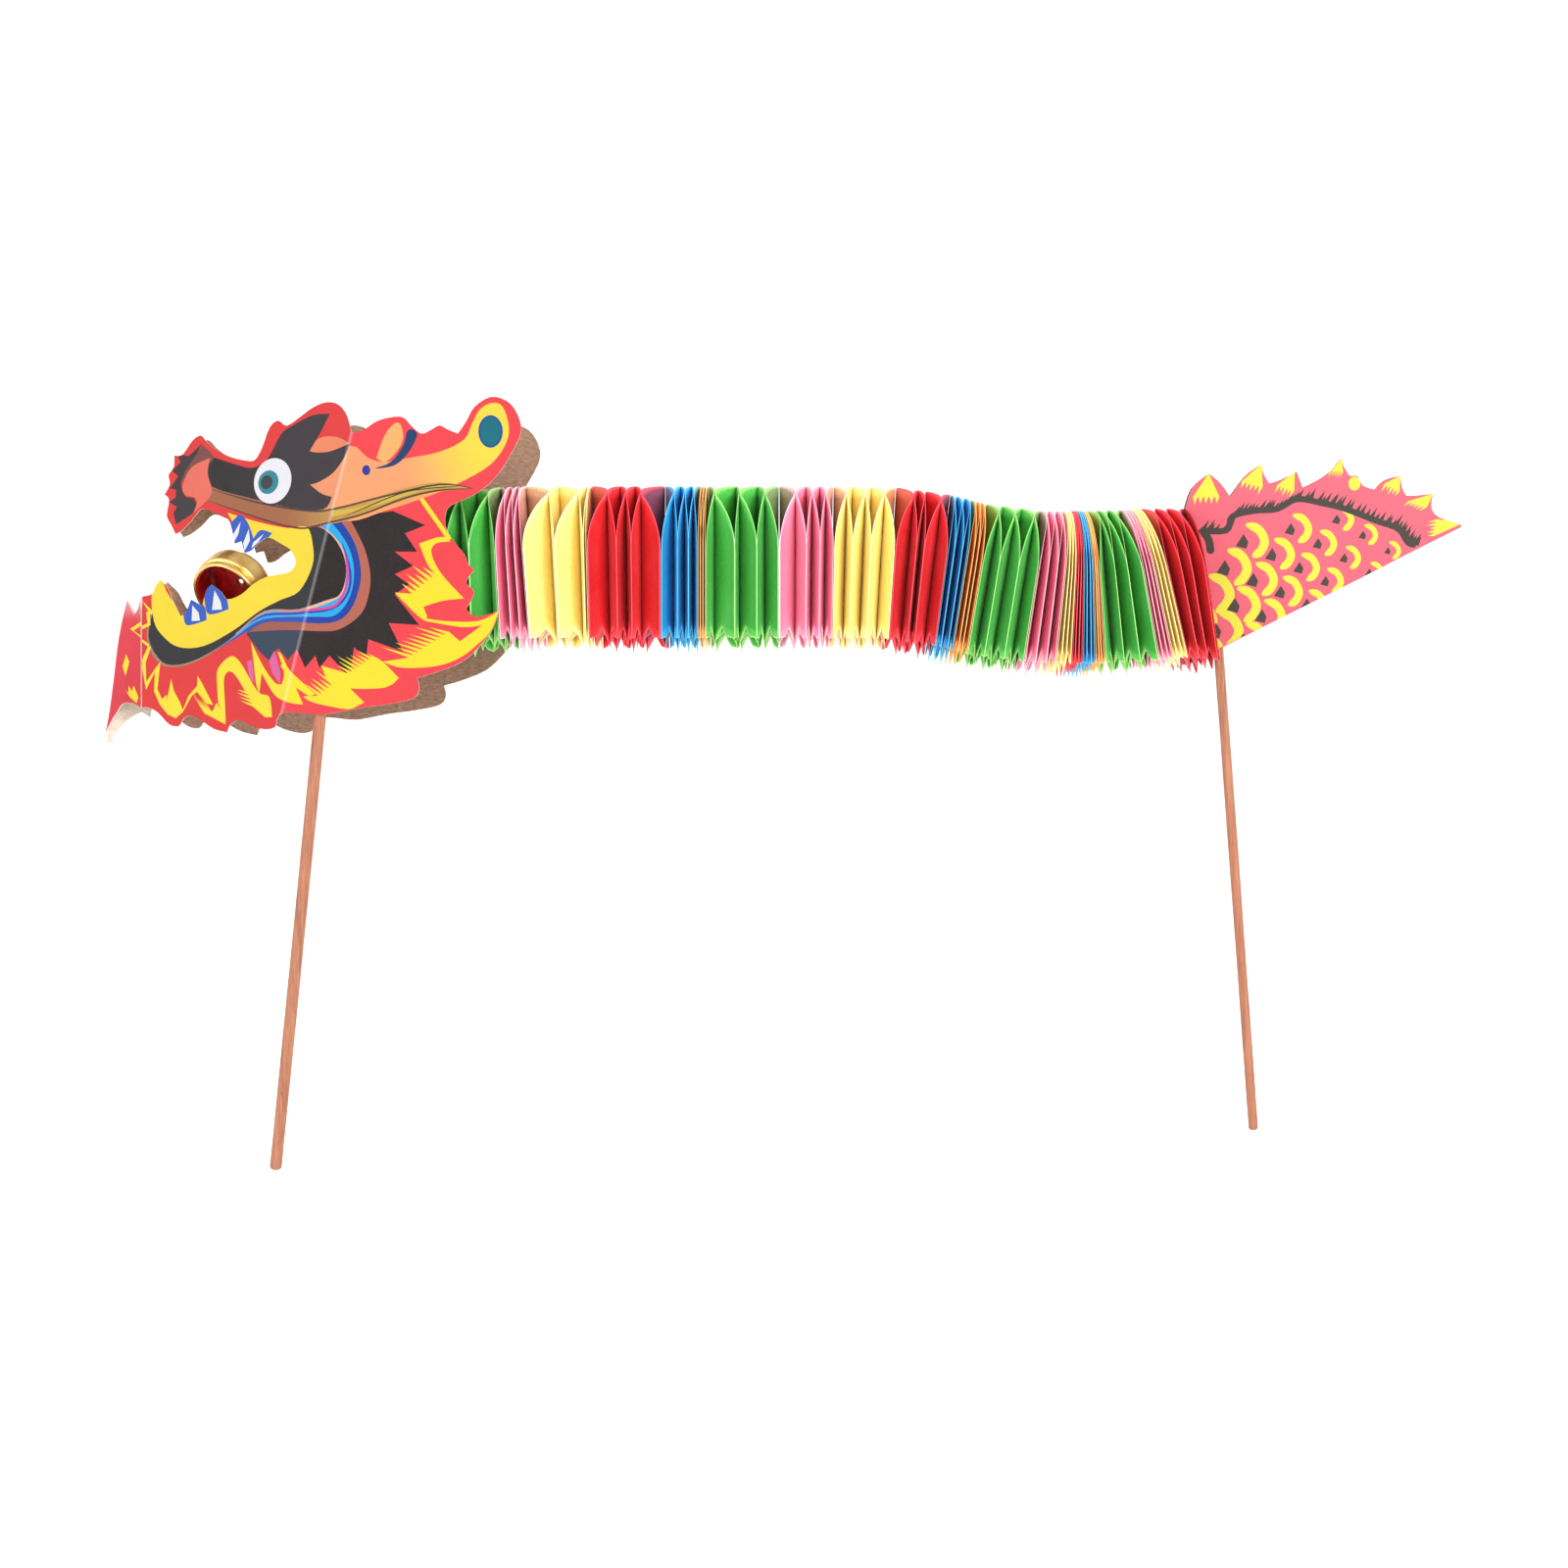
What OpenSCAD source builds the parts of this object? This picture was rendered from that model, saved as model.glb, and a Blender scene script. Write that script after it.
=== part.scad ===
// Paper dragon puppet on two sticks: folded card head, honeycomb paper body, folded card tail.
// Millimetres. +X runs from head to tail, +Y is the dragon's right, +Z is up.
// Outlines are written in the body's own frame, and placed() carries them to the grip on the head stick.

/* [Head] */
// Half the width of the head over its cards
head_half = 38.2; // [30:0.1:50]
// Thickness of the printed card
card = 0.6; // [0.3:0.1:1.5]
// Angle that the face folds inwards at the crease
face_angle = 21.06; // [5:0.01:35]

/* [Sticks] */
// Radius of the head stick
head_stick_r = 3; // [2:0.1:5]
// Radius of the tail stick
tail_stick_r = 2.5; // [2:0.1:5]
// Length of each stick
stick_length = 300; // [150:1:500]
// Length of the head stick that is free below the head
head_grip = 220; // [100:1:280]
// Length of the tail stick that is free below the tail
tail_grip = 240; // [100:1:280]

/* [Body] */
// Radius of a body sheet's round top
sheet_r = 37; // [20:0.5:60]
// Thickness of a body sheet
sheet = 0.16; // [0.08:0.01:0.5]
// Gap between two colours
pad_gap = 0.3; // [0.1:0.05:1]

/* [Tail] */
// Half the gap between the tail's two cards
tail_half_gap = 2.6; // [0.5:0.1:6]

/* [Cup] */
// Radius of the gold cup in the mouth
cup_r = 19; // [10:0.5:25]

/* [Hidden] */

head_stick_lean = 5.6;
tail_stick_lean = 4.18;
head_stick_foot = [-250.5, -34.55, -190];
tail_stick_foot = [239.5, 0, -176.5];
grip_up = 50;
origin_at = head_stick_foot + grip_up * [sin(head_stick_lean), 0, cos(head_stick_lean)];

// The crease between cheek and face, on the flat cheek: its foot and its lean from upright.
crease_foot = [-240.5, 60.1];
crease_lean = 14.04;
// Height of the corner of the mouth, where the face panel meets the jaw panel.
mouth_corner = 109;

// Seams of the body, from the head: place along X, height of the round top's centre, lean.
seams = [
  [-174.5, 111.5, 0], [-142, 114, 3], [-128.5, 114.5, 4.5], [-97, 114.5, 1.5],
  [-60.5, 114.5, 0], [-42.5, 114.5, 0], [-38.5, 114.5, 0], [-2.5, 114.5, 0],
  [24.5, 114.5, -1], [54.5, 114, -4], [80, 110.5, -7.5], [89.5, 108, -9],
  [97, 106, -9.5], [124.5, 102.5, -9], [138, 102, -6], [143.5, 102, -3],
  [147.5, 102, -1], [152, 102, 1.5], [155.5, 102, 3.5], [177, 103, 10],
  [182.5, 103.5, 12], [189, 104, 13], [207.5, 103.5, 8]];

paint = [[0.25, 0.62, 0.23], [0.96, 0.56, 0.66], [0.98, 0.9, 0.55], [0.85, 0.12, 0.15],
  [0.12, 0.6, 0.84], [0.96, 0.64, 0.24]];

module placed() translate(-origin_at) children();

// A smooth closed curve through points, with three steps to each span.
function catmull(a, b, c, d, t) = 0.5 * ((2 * b) + (c - a) * t
  + (2 * a - 5 * b + 4 * c - d) * t * t + (3 * b - a - 3 * c + d) * t * t * t);
function smooth(p, n = 2) = [for (i = [0 : len(p) - 1], k = [0 : n - 1])
  catmull(p[(i + len(p) - 1) % len(p)], p[i], p[(i + 1) % len(p)], p[(i + 2) % len(p)], k / n)];

// The half head's outline, flattened into the cheek's plane.
cheek_top = [[-212, 172], [-206, 174], [-200, 178], [-193, 180], [-187, 180], [-183, 176],
  [-178, 172], [-173, 174], [-169, 176], [-165, 174], [-160, 172], [-156, 178], [-152, 185],
  [-144, 190], [-136, 188], [-131, 182], [-129, 173], [-134, 162], [-142, 150], [-152, 142],
  [-163, 137]];
cheek_back = [[-166, 133], [-166, 126], [-162, 119], [-157, 113], [-155, 108], [-152, 105],
  [-156, 99], [-152, 94], [-156, 86], [-151, 82], [-140, 85], [-143, 76], [-150, 67], [-158, 60],
  [-170, 55], [-180, 52], [-179, 47], [-182, 42], [-195, 39], [-210, 37], [-226, 34], [-238, 35]];
face_top = [[-305, 134], [-310, 130], [-314, 128], [-317, 133], [-320, 138], [-319, 146],
  [-322, 149], [-319, 154], [-320, 159], [-317, 163], [-317, 169], [-312, 169], [-306, 176],
  [-301, 178], [-297, 174], [-290, 169], [-281, 165], [-273, 163], [-268, 163], [-264, 169],
  [-260, 179], [-255, 182], [-250, 179], [-242, 183], [-235, 187], [-227, 189], [-220, 187],
  [-215, 181]];
mouth_top = [[-242, 111], [-245, 116], [-250, 119], [-258, 123], [-263, 121], [-268, 117],
  [-272, 116], [-274, 122], [-278, 121], [-280, 128], [-283, 134], [-292, 138], [-299, 140]];
jaw_top = [[-333, 97], [-327, 98], [-325, 102], [-322, 105], [-317, 100], [-314, 94], [-309, 86],
  [-306, 87], [-303, 94], [-299, 92], [-296, 90], [-294, 98], [-291, 101], [-285, 97], [-281, 93],
  [-273, 95], [-266, 100], [-259, 103], [-251, 104], [-245, 105], [-242, 108]];
jaw_foot = [[-246, 35], [-249, 32], [-250, 28], [-256, 27], [-264, 29], [-271, 32], [-276, 30],
  [-278, 26], [-286, 28], [-293, 32], [-299, 35], [-304, 34], [-307, 30], [-313, 31], [-320, 37],
  [-326, 40], [-330, 40]];
half_head = concat(cheek_top, cheek_back, jaw_foot, jaw_top, mouth_top, face_top);

// The strip that joins the two halves under the chin: fold edge and apex, as [x, y, z].
strip_fold = [[-327.3, -2.5, 95], [-325.2, -8.6, 38.7]];
strip_apex = [[-335, 0, 94], [-346.5, 0, 20]];

module cheek_outline() intersection() {
  polygon(smooth(half_head));
  translate(crease_foot) rotate(-crease_lean) translate([0.02, -100]) square([200, 400]);
}
module face_outline(upper) intersection() {
  polygon(smooth(half_head));
  translate(crease_foot) rotate(-crease_lean) translate([-200.02, -100]) square([200, 400]);
  if (upper) translate([-400, mouth_corner + 0.03]) square([300, 200]);
  else translate([-400, mouth_corner - 200.03]) square([300, 200]);
}
module cheek() translate([0, -head_half + card, 0]) rotate([90, 0, 0]) linear_extrude(card) cheek_outline();
module face(upper) translate([crease_foot[0], -head_half, crease_foot[1]])
  rotate([0, crease_lean, 0]) rotate([0, 0, -face_angle]) translate([0, card, 0]) rotate([90, 0, 0])
  linear_extrude(card) rotate(crease_lean) translate(-crease_foot) face_outline(upper);

// The strip's left half, a plate from the jaw's fold to the apex.
module chin_strip() {
  a = strip_fold[0]; b = strip_fold[1]; c = strip_apex[1]; d = strip_apex[0];
  polyhedron(
    points = [a, b, c + [0.05, -0.1, 0], d + [0.05, -0.1, 0],
      a + [card, card * 0.5, 0], b + [card, card * 0.5, 0],
      c + [card * 1.6, -0.1, 0], d + [card * 1.6, -0.1, 0]],
    faces = [[0, 1, 2, 3], [7, 6, 5, 4], [4, 5, 1, 0], [5, 6, 2, 1], [6, 7, 3, 2], [7, 4, 0, 3]]);
}

// A stick with softly rounded ends, standing on its lower end. Above the grip it is shaved down a
// little, where it goes into the card.
shaved = 0.25;
module stick(r, grip) rotate_extrude() polygon([[0, 0], [r * 0.55, 0], [r * 0.88, r * 0.2],
  [r, r * 0.55], [r, r * 0.55 + grip], [r - shaved, r * 0.55 + grip + 0.3],
  [r - shaved, stick_length - r * 0.55], [r * 0.8, stick_length - r * 0.2],
  [r * 0.5, stick_length], [0, stick_length]]);

module on_head_stick() translate(head_stick_foot) rotate([0, head_stick_lean, 0]) children();
module on_tail_stick() translate(tail_stick_foot) rotate([0, -tail_stick_lean, 0]) children();

// Clear tape over the stick's upper part, pressed down on the cheek each side.
module tape_section() {
  y0 = -3.02;
  difference() {
    union() {
      circle(r = head_stick_r + 0.22, $fn = 48);
      translate([-head_stick_r - 0.22, y0]) square([2 * head_stick_r + 0.44, -y0]);
      translate([-8.5, y0]) square([24.5, 0.2]);
    }
    circle(r = head_stick_r - shaved + 0.03, $fn = 48);
    translate([-head_stick_r - 0.02, y0 - 1]) square([2 * head_stick_r + 0.04, 1 - y0]);
    translate([-20, y0 - 2]) square([40, 2]);
  }
}

// The gold cup stands aslant between the jaws: its mouth faces down, forwards and to the left.
module in_mouth() translate([-283.4, -6.5, 95.5]) rotate([0, 29, 0]) rotate([-52, 0, 0]) children();
module cup_profile() polygon([[cup_r - 2.4, 0], [cup_r - 1.2, 0], [cup_r - 0.9, 0.5], [cup_r - 0.9, 2],
  [cup_r - 1.5, 2.6], [cup_r - 1.5, 3.4], [cup_r - 0.3, 3.9], [cup_r, 4.5], [cup_r, 13.6],
  [cup_r - 0.8, 15.4], [cup_r - 3, 16.2], [cup_r - 6, 16.4], [1.2, 16.4], [1.2, 15.8],
  [cup_r - 6, 15.8], [cup_r - 3.2, 15.6], [cup_r - 1.4, 14.8], [cup_r - 0.7, 13.4],
  [cup_r - 0.7, 4.8], [cup_r - 2.4, 3.8]]);
module liner_profile() polygon([[cup_r - 3, 1.2], [cup_r - 2.45, 1.2], [cup_r - 2.45, 13.2],
  [cup_r - 4, 14.8], [2, 15.4], [2, 14.9], [cup_r - 4.3, 14.3], [cup_r - 3, 12.9]]);

// A body sheet's outline: round top, straight sides, notched foot.
foot = -43;
sheet_outline = concat(
  [for (a = [0 : 15 : 180]) sheet_r * [cos(a), sin(a)]],
  [for (p = [[-1, foot], [-0.86, foot + 1], [-0.75, foot + 6], [-0.62, foot + 1], [-0.5, foot - 3.4],
    [-0.38, foot + 1], [-0.25, foot + 6], [-0.1, foot], [0, foot - 2], [0.1, foot], [0.25, foot + 6],
    [0.38, foot + 1], [0.5, foot - 3.4], [0.62, foot + 1], [0.75, foot + 6], [0.86, foot + 1],
    [1, foot]]) [p[0] * sheet_r, p[1]]]);

// Where a sheet runs across the body: 0 at its leaf's outer fold, 1 at the leaf's glued valley.
glue_run = [[-1, 0], [-0.87, 0], [-0.55, 1], [-0.45, 1], [-0.06, 0], [0.06, 0], [0.45, 1],
  [0.55, 1], [0.87, 0], [1, 0]];
module sheet_strip(fold, valley) {
  line = [for (g = glue_run) [fold + (valley - fold) * g[1], g[0] * (sheet_r + 1)]];
  polygon(concat([for (p = line) p - [sheet / 2, 0]],
    [for (i = [len(line) - 1 : -1 : 0]) line[i] + [sheet / 2, 0]]));
}

// One colour of the body: three leaves of two sheets between seam k and the next.
module pad(k, slit = 0) {
  a = seams[k]; b = seams[k + 1];
  mid = (a + b) / 2;
  length = (b[0] - a[0]) * cos(mid[2]) - pad_gap;
  pitch = length / 3;
  color(paint[k % 6]) placed() translate([mid[0], 0, mid[1]]) rotate([0, -mid[2], 0]) difference() {
    intersection() {
      translate([0, 0, -50]) linear_extrude(100) for (j = [-1 : 1]) {
        sheet_strip((j - 0.5) * pitch + sheet / 2, j * pitch);
        sheet_strip((j + 0.5) * pitch - sheet / 2, j * pitch);
      }
      rotate([90, 0, 90]) translate([0, 0, -length]) linear_extrude(2 * length) polygon(sheet_outline);
      rotate([90, 0, 0]) translate([0, 0, -50]) linear_extrude(100) wedge(a, b, mid);
    }
    if (slit > 0) {
      translate([length / 2 - slit, -tail_half_gap - card - 0.3, -60])
        cube([slit + 10, 2 * (tail_half_gap + card + 0.3), 120]);
      translate([-length, -tail_half_gap - card - 0.3, -60])
        cube([2 * length, 2 * (tail_half_gap + card + 0.3), 32]);
    }
  }
}
// The side view between two leaning seams, in the pad's own frame.
module wedge(a, b, mid) {
  da = a[2] - mid[2]; db = b[2] - mid[2];
  xa = (a[0] - mid[0]) * cos(mid[2]) + (a[1] - mid[1]) * sin(mid[2]) + pad_gap / 2;
  xb = (b[0] - mid[0]) * cos(mid[2]) + (b[1] - mid[1]) * sin(mid[2]) - pad_gap / 2;
  polygon([[xa + 55 * tan(da), -55], [xb + 55 * tan(db), -55],
    [xb - 55 * tan(db), 55], [xa - 55 * tan(da), 55]]);
}
module board(s, side) placed() translate([s[0], 0, s[1]]) rotate([0, -s[2], 0])
  translate([side > 0 ? pad_gap / 2 : -pad_gap / 2 - card, 0, 0]) rotate([90, 0, 90])
  linear_extrude(card) polygon(sheet_outline);

// The tail half's outline in X and Z. Its lower edge runs along the tail's fold.
fold_root = [205, 61];
fold_tip = [346, 132];
tail_outline = [[201, 62], fold_root, [221, 68], [260, 87], [300, 107], fold_tip, [334, 136],
  [330, 141], [331, 148], [322, 147], [317, 147], [315, 151], [314, 157], [306, 155], [301, 150],
  [295, 152], [292, 157], [288, 157], [285, 162], [284, 166], [279, 160], [272, 155], [264, 151],
  [261, 159], [253, 155], [247, 153], [244, 158], [243, 163], [235, 157], [227, 146], [222, 153],
  [216, 158], [208, 151], [204, 139], [202, 130], [202, 90]];
// Each tail half leans in towards the tip, where the two cards meet.
tail_root_x = 220;
tail_in = atan((tail_half_gap - 0.05) / (fold_tip[0] - tail_root_x));
module tail_half() {
  difference() {
    translate([0, -tail_half_gap, 0]) rotate([90, 0, 0]) linear_extrude(card) polygon(tail_outline);
    translate([tail_root_x, -50, -20]) cube([200, 100, 250]);
  }
  translate([tail_root_x, -tail_half_gap, 0]) rotate([0, 0, tail_in]) translate([-tail_root_x, 0, 0])
    difference() {
      rotate([90, 0, 0]) linear_extrude(card) polygon(tail_outline);
      translate([tail_root_x - 200, -50, -20]) cube([200.02, 100, 250]);
    }
}
fold_slope = atan((fold_tip[1] - fold_root[1]) / (fold_tip[0] - fold_root[0]));
fold_length = (fold_tip[0] - fold_root[0]) / cos(fold_slope);

module head_cheek_left() color([0.94, 0.27, 0.31]) placed() cheek();
module head_cheek_right() color([0.94, 0.27, 0.31]) placed() mirror([0, 1, 0]) cheek();
module head_face_left() color([0.91, 0.15, 0.17]) placed() face(true);
module head_face_right() color([0.91, 0.15, 0.17]) placed() mirror([0, 1, 0]) face(true);
module head_jaw_left() color([0.95, 0.85, 0.2]) placed() face(false);
module head_jaw_right() color([0.95, 0.85, 0.2]) placed() mirror([0, 1, 0]) face(false);
module chin_strip_left() color([0.9, 0.35, 0.4]) placed() chin_strip();
module chin_strip_right() color([0.9, 0.35, 0.4]) placed() mirror([0, 1, 0]) chin_strip();
module head_stick() color([0.72, 0.48, 0.36]) placed() on_head_stick() stick(head_stick_r, head_grip);
module head_stick_tape() color([0.85, 0.87, 0.88]) placed() on_head_stick()
  translate([0, 0, 236]) linear_extrude(48) tape_section();
module mouth_cup() color([0.83, 0.66, 0.35]) placed() in_mouth() rotate_extrude() cup_profile();
module mouth_cup_liner() color([0.7, 0.08, 0.08]) placed() in_mouth() rotate_extrude() liner_profile();
module mouth_cup_glue() color([0.9, 0.9, 0.86]) placed() translate([-279.8, 3.2, 77.9]) sphere(r = 1.5);
module mouth_bridge() color([0.72, 0.6, 0.48]) placed() translate([0, 0, 76.2]) linear_extrude(card)
  polygon([[-290, -17.4], [-290, 17.4], [-270, 25], [-270, -25]]);
module front_board() color([0.72, 0.6, 0.48]) {
  board(seams[0], -1);
  for (s = [-1, 1]) placed()
    translate([seams[0][0] - 16, s > 0 ? head_half - card - 0.5 : -head_half + card + 0.05, 84])
    cube([16, 0.45, 44]);
}
module pad_01_green() pad(0);
module pad_02_pink() pad(1);
module pad_03_yellow() pad(2);
module pad_04_red() pad(3);
module pad_05_blue() pad(4);
module pad_06_orange() pad(5);
module pad_07_green() pad(6);
module pad_08_pink() pad(7);
module pad_09_yellow() pad(8);
module pad_10_red() pad(9);
module pad_11_blue() pad(10);
module pad_12_orange() pad(11);
module pad_13_green() pad(12);
module pad_14_pink() pad(13);
module pad_15_yellow() pad(14);
module pad_16_red() pad(15);
module pad_17_blue() pad(16);
module pad_18_orange() pad(17);
module pad_19_green() pad(18);
module pad_20_pink() pad(19);
module pad_21_yellow() pad(20);
module pad_22_red() pad(21, 14);
module rear_board() color([0.75, 0.1, 0.12]) difference() {
  board(seams[22], 1);
  placed() translate([190, -tail_half_gap - card - 0.1, 40]) cube([40, 2 * (tail_half_gap + card + 0.1), 98]);
}
module tail_card_left() color([1, 0.45, 0.5]) placed() tail_half();
module tail_card_right() color([1, 0.45, 0.5]) placed() mirror([0, 1, 0]) tail_half();
module tail_fold() color([1, 0.45, 0.5]) placed() difference() {
  translate([fold_root[0], 0, fold_root[1]]) rotate([0, -fold_slope, 0]) translate([0, 0, -card])
    linear_extrude(card) polygon([[0, -tail_half_gap - card], [17, -tail_half_gap - card],
      [fold_length - 1, -card], [fold_length - 1, card],
      [17, tail_half_gap + card], [0, tail_half_gap + card]]);
  on_tail_stick() cylinder(r = tail_stick_r - shaved + 0.05, h = stick_length);
}
module tail_stick() color([0.72, 0.48, 0.36]) placed() on_tail_stick() stick(tail_stick_r, tail_grip);
module tail_stick_glue() color([0.9, 0.9, 0.88]) placed() on_tail_stick()
  translate([0, 0, 252]) difference() {
    translate([-3, -tail_half_gap, 0]) cube([6, 2 * tail_half_gap, 8]);
    translate([0, 0, -1]) cylinder(r = tail_stick_r - shaved - 0.05, h = 10);
  }

head_cheek_left();
head_cheek_right();
head_face_left();
head_face_right();
head_jaw_left();
head_jaw_right();
chin_strip_left();
chin_strip_right();
head_stick();
head_stick_tape();
mouth_cup();
mouth_cup_liner();
mouth_cup_glue();
mouth_bridge();
front_board();
pad_01_green();
pad_02_pink();
pad_03_yellow();
pad_04_red();
pad_05_blue();
pad_06_orange();
pad_07_green();
pad_08_pink();
pad_09_yellow();
pad_10_red();
pad_11_blue();
pad_12_orange();
pad_13_green();
pad_14_pink();
pad_15_yellow();
pad_16_red();
pad_17_blue();
pad_18_orange();
pad_19_green();
pad_20_pink();
pad_21_yellow();
pad_22_red();
rear_board();
tail_card_left();
tail_card_right();
tail_fold();
tail_stick();
tail_stick_glue();
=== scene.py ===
"""Looks of a paper dragon puppet: card head, honeycomb paper body, card tail and two sticks."""
import math
import random

import bpy
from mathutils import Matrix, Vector
from mathutils.geometry import delaunay_2d_cdt


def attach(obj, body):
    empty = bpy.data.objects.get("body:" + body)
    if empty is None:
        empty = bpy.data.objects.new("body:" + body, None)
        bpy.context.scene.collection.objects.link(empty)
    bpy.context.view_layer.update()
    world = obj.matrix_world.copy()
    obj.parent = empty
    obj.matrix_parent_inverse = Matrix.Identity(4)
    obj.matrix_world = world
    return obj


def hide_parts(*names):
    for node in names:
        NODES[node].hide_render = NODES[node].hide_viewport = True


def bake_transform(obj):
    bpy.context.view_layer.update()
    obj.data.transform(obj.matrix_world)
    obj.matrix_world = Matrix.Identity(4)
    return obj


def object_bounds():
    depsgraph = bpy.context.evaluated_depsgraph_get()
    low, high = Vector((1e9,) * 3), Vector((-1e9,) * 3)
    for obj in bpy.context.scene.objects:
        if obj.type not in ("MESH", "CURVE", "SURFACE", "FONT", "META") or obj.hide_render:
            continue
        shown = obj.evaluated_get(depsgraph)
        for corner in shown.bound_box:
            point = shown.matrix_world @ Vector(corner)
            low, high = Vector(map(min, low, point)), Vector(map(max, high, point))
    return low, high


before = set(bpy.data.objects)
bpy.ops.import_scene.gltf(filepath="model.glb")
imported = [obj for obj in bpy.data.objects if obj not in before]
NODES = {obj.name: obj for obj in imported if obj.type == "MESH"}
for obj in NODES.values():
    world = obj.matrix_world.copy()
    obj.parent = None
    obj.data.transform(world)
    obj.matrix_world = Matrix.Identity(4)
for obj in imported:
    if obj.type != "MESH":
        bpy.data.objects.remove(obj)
cad_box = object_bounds()

# Outlines are in millimetres in the puppet's own drawing frame, as in the CAD. row() carries a
# point to the row frame, whose origin is on the head stick, 50 mm above its foot.
HEAD_LEAN = math.radians(5.6)
TAIL_LEAN = math.radians(4.18)
HEAD_FOOT = Vector((-250.5, -34.55, -190))
TAIL_FOOT = Vector((239.5, 0, -176.5))
ORIGIN = HEAD_FOOT + 50 * Vector((math.sin(HEAD_LEAN), 0, math.cos(HEAD_LEAN)))
# The card's thickness, and how far a piece stays from the plane where its two halves meet.
CARD = 0.6
MIDDLE_GAP = 0.02


def row(x, y, z):
    """A point of the drawing frame, in metres in the row frame."""
    return (Vector((x, y, z)) - ORIGIN) / 1000


# ---- Camera, light and floor ----
camera_data = bpy.data.cameras.new("camera")
camera_data.lens = 45
camera_data.sensor_width = 36
camera_data.clip_end = 50
camera = bpy.data.objects.new("camera", camera_data)
camera.location = row(0, -1000, 0)
camera.rotation_euler = (math.radians(90), 0, 0)
bpy.context.collection.objects.link(camera)
bpy.context.scene.camera = camera
bpy.context.scene.view_settings.view_transform = "Standard"


def linear(code):
    """A hex colour as linear light."""
    parts = [c / 255 for c in bytes.fromhex(code)]
    return tuple(((c + 0.055) / 1.055) ** 2.4 if c > 0.04045 else c / 12.92 for c in parts) + (1,)


def area_light(name, place, target, size, watts):
    data = bpy.data.lights.new(name, "AREA")
    data.shape = "RECTANGLE"
    data.size, data.size_y = size
    data.energy = watts
    lamp = bpy.data.objects.new(name, data)
    lamp.location = place
    lamp.rotation_euler = (target - place).to_track_quat("-Z", "Y").to_euler()
    bpy.context.collection.objects.link(lamp)


MIDDLE = row(0, 0, 60)
area_light("key", MIDDLE + Vector((1.1, -1.5, 1.1)), MIDDLE, (1.0, 1.0), 38)
area_light("fill", MIDDLE + Vector((-1.5, -1.3, 0.5)), MIDDLE, (1.6, 1.6), 17)
area_light("back", MIDDLE + Vector((0.2, 1.6, 1.3)), MIDDLE, (1.8, 1.2), 24)

world = bpy.data.worlds.new("studio")
world.use_nodes = True
world.node_tree.nodes["Background"].inputs[0].default_value = (1, 1, 1, 1)
world.node_tree.nodes["Background"].inputs[1].default_value = 0.85
bpy.context.scene.world = world


# ---- Materials ----
class Nodes:
    """A short way to write a node material."""

    def __init__(self, name):
        self.material = bpy.data.materials.new(name)
        self.material.use_nodes = True
        self.tree = self.material.node_tree
        self.shader = self.tree.nodes["Principled BSDF"]
        self.place = self.add("ShaderNodeTexCoord").outputs["Object"]

    def add(self, kind, **settings):
        node = self.tree.nodes.new(kind)
        for key, value in settings.items():
            setattr(node, key, value)
        return node

    def link(self, out, to):
        self.tree.links.new(out, to)

    def set(self, **values):
        for key, value in values.items():
            self.shader.inputs[key.replace("_", " ")].default_value = value

    def noise(self, scale, detail=2.0, stretch=None, rough=0.5):
        node = self.add("ShaderNodeTexNoise")
        node.inputs["Scale"].default_value = scale
        node.inputs["Detail"].default_value = detail
        node.inputs["Roughness"].default_value = rough
        source = self.place
        if stretch:
            mapping = self.add("ShaderNodeMapping")
            mapping.inputs["Scale"].default_value = stretch
            self.link(source, mapping.inputs[0])
            source = mapping.outputs[0]
        self.link(source, node.inputs["Vector"])
        return node.outputs["Fac"]

    def span(self, value, low, high, to_low=0.0, to_high=1.0, smooth=False):
        node = self.add("ShaderNodeMapRange")
        node.interpolation_type = "SMOOTHSTEP" if smooth else "LINEAR"
        for i, number in enumerate((low, high, to_low, to_high)):
            node.inputs[i + 1].default_value = number
        self.link(value, node.inputs[0])
        return node.outputs[0]

    def along(self, start, end):
        """0 at start and 1 at end, two points in metres, with a soft change between them."""
        way = end - start
        dot = self.add("ShaderNodeVectorMath", operation="DOT_PRODUCT")
        self.link(self.place, dot.inputs[0])
        dot.inputs[1].default_value = way
        return self.span(dot.outputs["Value"], start.dot(way), end.dot(way), smooth=True)

    def mix(self, factor, first, second):
        """The first colour where factor is 0 and the second where it is 1."""
        node = self.add("ShaderNodeMix", data_type="RGBA")
        self.link(factor, node.inputs[0])
        for socket, value in ((node.inputs[6], first), (node.inputs[7], second)):
            if isinstance(value, tuple):
                socket.default_value = value
            else:
                self.link(value, socket)
        return node.outputs[2]

    def bump(self, height, distance, strength=1.0, before=None):
        node = self.add("ShaderNodeBump")
        node.inputs["Strength"].default_value = strength
        node.inputs["Distance"].default_value = distance
        self.link(height, node.inputs["Height"])
        if before:
            self.link(before, node.inputs["Normal"])
        return node.outputs[0]

    def colour(self, source):
        self.link(source, self.shader.inputs["Base Color"])

    def normal(self, source):
        self.link(source, self.shader.inputs["Normal"])

    def roughness(self, noise, low, high):
        self.link(self.span(noise, 0.3, 0.7, low, high), self.shader.inputs["Roughness"])


# The printed inks made so far, by name.
PRINTS = {}


def darker(code, share):
    """A hex colour moved towards black, or towards white where share is negative."""
    parts = [c * (1 - share) if share > 0 else c + (255 - c) * -share for c in bytes.fromhex(code)]
    return "".join("%02X" % round(c) for c in parts)


# How much of an ink's own light the cards give back.
INK_SHARE = 0.52
# The painted highlight along the crease reaches this far behind and in front of it, and takes this
# share of the ink.
HIGHLIGHT_BEHIND, HIGHLIGHT_AHEAD, HIGHLIGHT_SHARE = 1.6, 1.0, 0.55


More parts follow.
